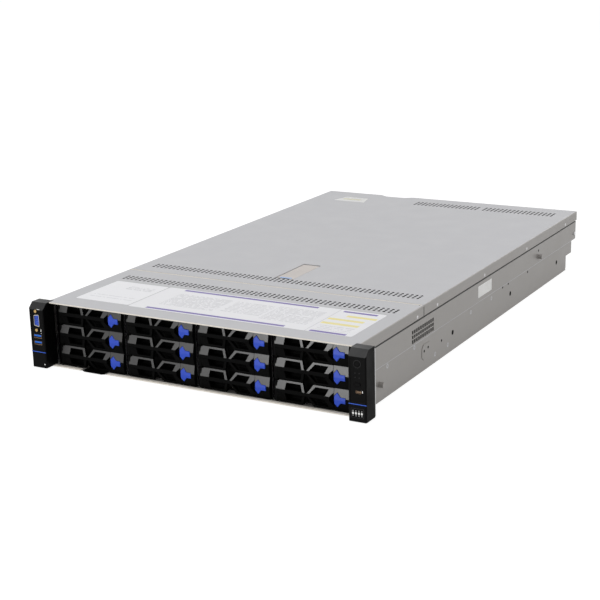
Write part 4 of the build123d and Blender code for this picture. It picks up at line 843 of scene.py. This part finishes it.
violet, yellow = tint(112, 96, 168), tint(240, 228, 150)
long_label = label("long_top_label", tint(240, 240, 243), [
    ((-90, 110, 30.5, 36.0), violet), ((-88, 110, 116.0, 121.5), violet), ((145, 193, 29.0, 34.5), violet),
    ((146, 192, 114.5, 120.0), violet), ((139.4, 140.4, 28, 124), tint(205, 205, 210)),
    ((159, 199, 97.0, 104.0), yellow), ((142, 190, 80.5, 87.5), yellow), ((142, 192, 63.0, 70.0), yellow)],
    [((-84, -4, 52, 102), 4.4, 0.45), ((4, 60, 56, 104), 5.2, 0.35), ((64, 130, 48, 104), 4.8, 0.4),
     ((146, 192, 38, 60), 5.6, 0.3)])
left_label = label("left_top_label", tint(243, 243, 246), [],
                   [((-166, -124, 92, 106), 5.5, 0.5), ((-190, -124, 42, 62), 9.0, 0.14)])
add_piece("top_label_main", plate(rounded(-115, 202, 28, 124, 3), on_top, 0.04), long_label, "chassis")
add_piece("top_label_left", plate(rounded(-200, -116.5, 31, 123, 3), on_top, 0.04), left_label, "chassis")
rear_label = label("rear_top_label", tint(232, 232, 230), [((-170, -138, 724, 731), tint(226, 222, 190))],
                   [((-176, -134, 722, 748), 4.0, 0.4)])
add_piece("top_label_rear", plate([(-180.6, 712), (-124, 711.2), (-131.3, 742), (-172.5, 745)], on_top, 0.04),
          rear_label, "cover")
side_label_paper = finish("side_label_paper", tint(253, 253, 251), 0.45, 0, 3000, fleck=0.02, bump=0.05)
add_piece("side_label", plate(rounded(362, 411, 48.5, 64.8, 1.2), on_side(HALF + 0.08), 0.08), side_label_paper, "chassis")

# Rear end
PSU_LEFT = -219.6
for i in range(2):
    zc = 1.3 + i * 41.3 + 20.0
    body = f"supply_{i + 1}"
    rings = [turned([(r, 0.0), (r + 0.45, 0.45), (r, 0.9), (r - 0.45, 0.45), (r, 0.0)],
                    (PSU_LEFT + 50, 773.9, zc), (0, 1, 0), 28) for r in (4.0, 7.0, 10.0, 13.0)]
    spokes = bars([(PSU_LEFT + 35.5, PSU_LEFT + 64.5, 773.0, 773.8, zc - 0.4, zc + 0.4),
                   (PSU_LEFT + 49.6, PSU_LEFT + 50.4, 773.0, 773.8, zc - 14.5, zc + 14.5)])
    add_piece(f"supply_guard_{i + 1}", combine(rings + [spokes]), shiny_steel, body, smooth=50)
    add_piece(f"supply_fan_dark_{i + 1}", turned([(0, 0.05), (14.9, 0.05), (14.9, -0.05), (0, -0.05)],
                                                 (PSU_LEFT + 50, 772.1, zc), (0, 1, 0), 24), hole_shade, body)
    add_piece(f"inlet_body_{i + 1}", ring_wall(rounded(PSU_LEFT + 5.7, PSU_LEFT + 32.3, zc - 9.8, zc + 9.8, 2.0),
                                               0.86, 761.0, 773.9), black_deep, body)
    add_piece(f"inlet_pins_{i + 1}", bars([
        (PSU_LEFT + 19 + a - 1.0, PSU_LEFT + 19 + a + 1.0, 760.2, 770.0, zc + b - 2.0, zc + b + 2.0)
        for a, b in ((-7.0, -1.5), (0.0, 3.0), (7.0, -1.5))]), brass, body, bevel=0.2)
PCB_TOP = 8.6
PORTS = {"vga": (-118.0, 17.0, 9.0), "usb_a": (-88.0, 13.4, 6.2), "usb_b": (-68.0, 13.4, 6.2),
         "lan_a": (-42.0, 13.0, 10.0), "lan_b": (-24.0, 13.0, 10.0), "service": (0.0, 13.0, 10.0)}
for word, (x, w, h) in PORTS.items():
    z0 = PCB_TOP + 0.9
    add_piece(f"port_lining_{word}", ring_wall(rounded(x - w / 2 + 0.1, x + w / 2 - 0.1, z0 + 0.1, z0 + h - 0.1, 0.6),
                                               0.93, 720.4, 731.8), shiny_steel, "chassis")
    if word == "vga":
        insert = plate(rounded(x - w / 2 + 1.2, x + w / 2 - 1.2, z0 + 1.2, z0 + h - 1.2, 1.2), facing(723.0), 2.0)
        add_piece(f"port_insert_{word}", insert, blue_socket, "chassis", bevel=0.3)
    elif word.startswith("usb"):
        add_piece(f"port_insert_{word}", bars([
            (x - w / 2 + 1.2, x + w / 2 - 1.2, 720.4, 730.6, z0 + h / 2, z0 + h / 2 + 1.8)]), blue_tongue, "chassis", bevel=0.15)
    else:
        add_piece(f"port_insert_{word}", bars([
            (x - w / 2 + 1.5 + 1.25 * k, x - w / 2 + 1.8 + 1.25 * k, 720.6, 727.5, z0 + h - 3.0, z0 + h - 2.2)
            for k in range(8)]), brass, "chassis")

# Floor, backdrop and light
def stage_material(name, colour, seen, mirrored):
    """Diffuse for light, with a plain glow: strength seen for camera rays, mirrored for glossy and transmission
    rays."""
    material = bpy.data.materials.new(name)
    material.use_nodes = True
    tree = material.node_tree
    tree.nodes.clear()
    out = tree.nodes.new("ShaderNodeOutputMaterial")
    diffuse = tree.nodes.new("ShaderNodeBsdfDiffuse")
    glow = tree.nodes.new("ShaderNodeEmission")
    both = tree.nodes.new("ShaderNodeAddShader")
    path = tree.nodes.new("ShaderNodeLightPath")
    bounced = calc(tree, "MAXIMUM", path.outputs["Is Glossy Ray"], path.outputs["Is Transmission Ray"])
    put(diffuse.inputs["Color"],
        blend(tree, path.outputs["Is Camera Ray"], (colour, colour, colour, 1), (0.3, 0.3, 0.3, 1)))
    strength = calc(tree, "MULTIPLY_ADD", path.outputs["Is Camera Ray"], seen, calc(tree, "MULTIPLY", bounced, mirrored))
    put(glow.inputs["Strength"], strength)
    tree.links.new(diffuse.outputs[0], both.inputs[0])
    tree.links.new(glow.outputs[0], both.inputs[1])
    tree.links.new(both.outputs[0], out.inputs["Surface"])
    return material


floor_mesh = bpy.data.meshes.new("floor")
reach = 14.0
corners = [(-reach, -reach), (reach, -reach), (reach, reach), (-reach, reach)]
floor_mesh.from_pydata([(x, y, FLOOR_Z * MM) for x, y in corners], [], [[0, 1, 2, 3]])
floor_mesh.materials.append(stage_material("white_floor", 0.6, 0.87, 0.4))
floor = bpy.data.objects.new("floor", floor_mesh)
bpy.context.scene.collection.objects.link(floor)

world = bpy.data.worlds.new("soft_studio")
bpy.context.scene.world = world
world.use_nodes = True
tree = world.node_tree
background = tree.nodes["Background"]
path = tree.nodes.new("ShaderNodeLightPath")
direct = calc(tree, "MAXIMUM", path.outputs["Is Camera Ray"],
              calc(tree, "MAXIMUM", path.outputs["Is Glossy Ray"], path.outputs["Is Transmission Ray"]))
background.inputs["Color"].default_value = (1, 1, 1, 1)
put(background.inputs["Strength"], spread(tree, direct, 0.0, 1.0, 0.5, 1.0))


def softbox(name, place, target, width, height, power):
    """A rectangular lamp at place that faces target, in metres."""
    lamp = bpy.data.lights.new(name, "AREA")
    lamp.shape = "RECTANGLE"
    lamp.size, lamp.size_y, lamp.energy = width, height, power
    holder = bpy.data.objects.new(name, lamp)
    bpy.context.scene.collection.objects.link(holder)
    back = np.array(place, float) - np.array(target, float)
    back /= np.linalg.norm(back)
    right = np.cross((0, 0, 1.0), back)
    right /= np.linalg.norm(right)
    up = np.cross(back, right)
    turn = Matrix([[right[i], up[i], back[i]] for i in range(3)]).to_4x4()
    holder.matrix_world = Matrix.Translation(place) @ turn


softbox("key_softbox", (-0.6, -1.2, 3.0), (0, 0, 0), 2.2, 2.2, 30)
softbox("front_softbox", (-0.2, -1.62, 0.17), (0.12, -0.4, 0.05), 0.62, 0.34, 6.5)
softbox("side_softbox", (2.6, 1.1, 1.4), (0.2, 0.2, 0), 1.5, 1.3, 8)
softbox("rear_softbox", (0.8, 2.6, 1.3), (0, 0.3, 0), 2.0, 1.0, 6)

# Camera at the photograph's angle
AZIMUTH, ELEVATION, ROLL = 0.51561, 0.27530, -0.02574
FOCAL_PIXELS = 1369.2
camera_data = bpy.data.cameras.new("camera")
camera = bpy.data.objects.new("camera", camera_data)
bpy.context.scene.collection.objects.link(camera)
bpy.context.scene.camera = camera
camera_data.sensor_width = SENSOR
camera_data.lens = FOCAL_PIXELS * SENSOR / PHOTO_WIDTH
camera_data.clip_start, camera_data.clip_end = 0.05, 60.0
behind = np.array([math.sin(AZIMUTH) * math.cos(ELEVATION), -math.cos(AZIMUTH) * math.cos(ELEVATION),
                   math.sin(ELEVATION)])
level = np.cross(-behind, (0, 0, 1.0))
level /= np.linalg.norm(level)
above = np.cross(level, -behind)
right = level * math.cos(ROLL) + above * math.sin(ROLL)
up = above * math.cos(ROLL) - level * math.sin(ROLL)
turn = Matrix([[right[i], up[i], behind[i]] for i in range(3)]).to_4x4()
camera.matrix_world = Matrix.Translation((0.89377, -1.70097, 0.55707)) @ turn

settings = bpy.context.scene.view_settings
settings.view_transform = "Standard"
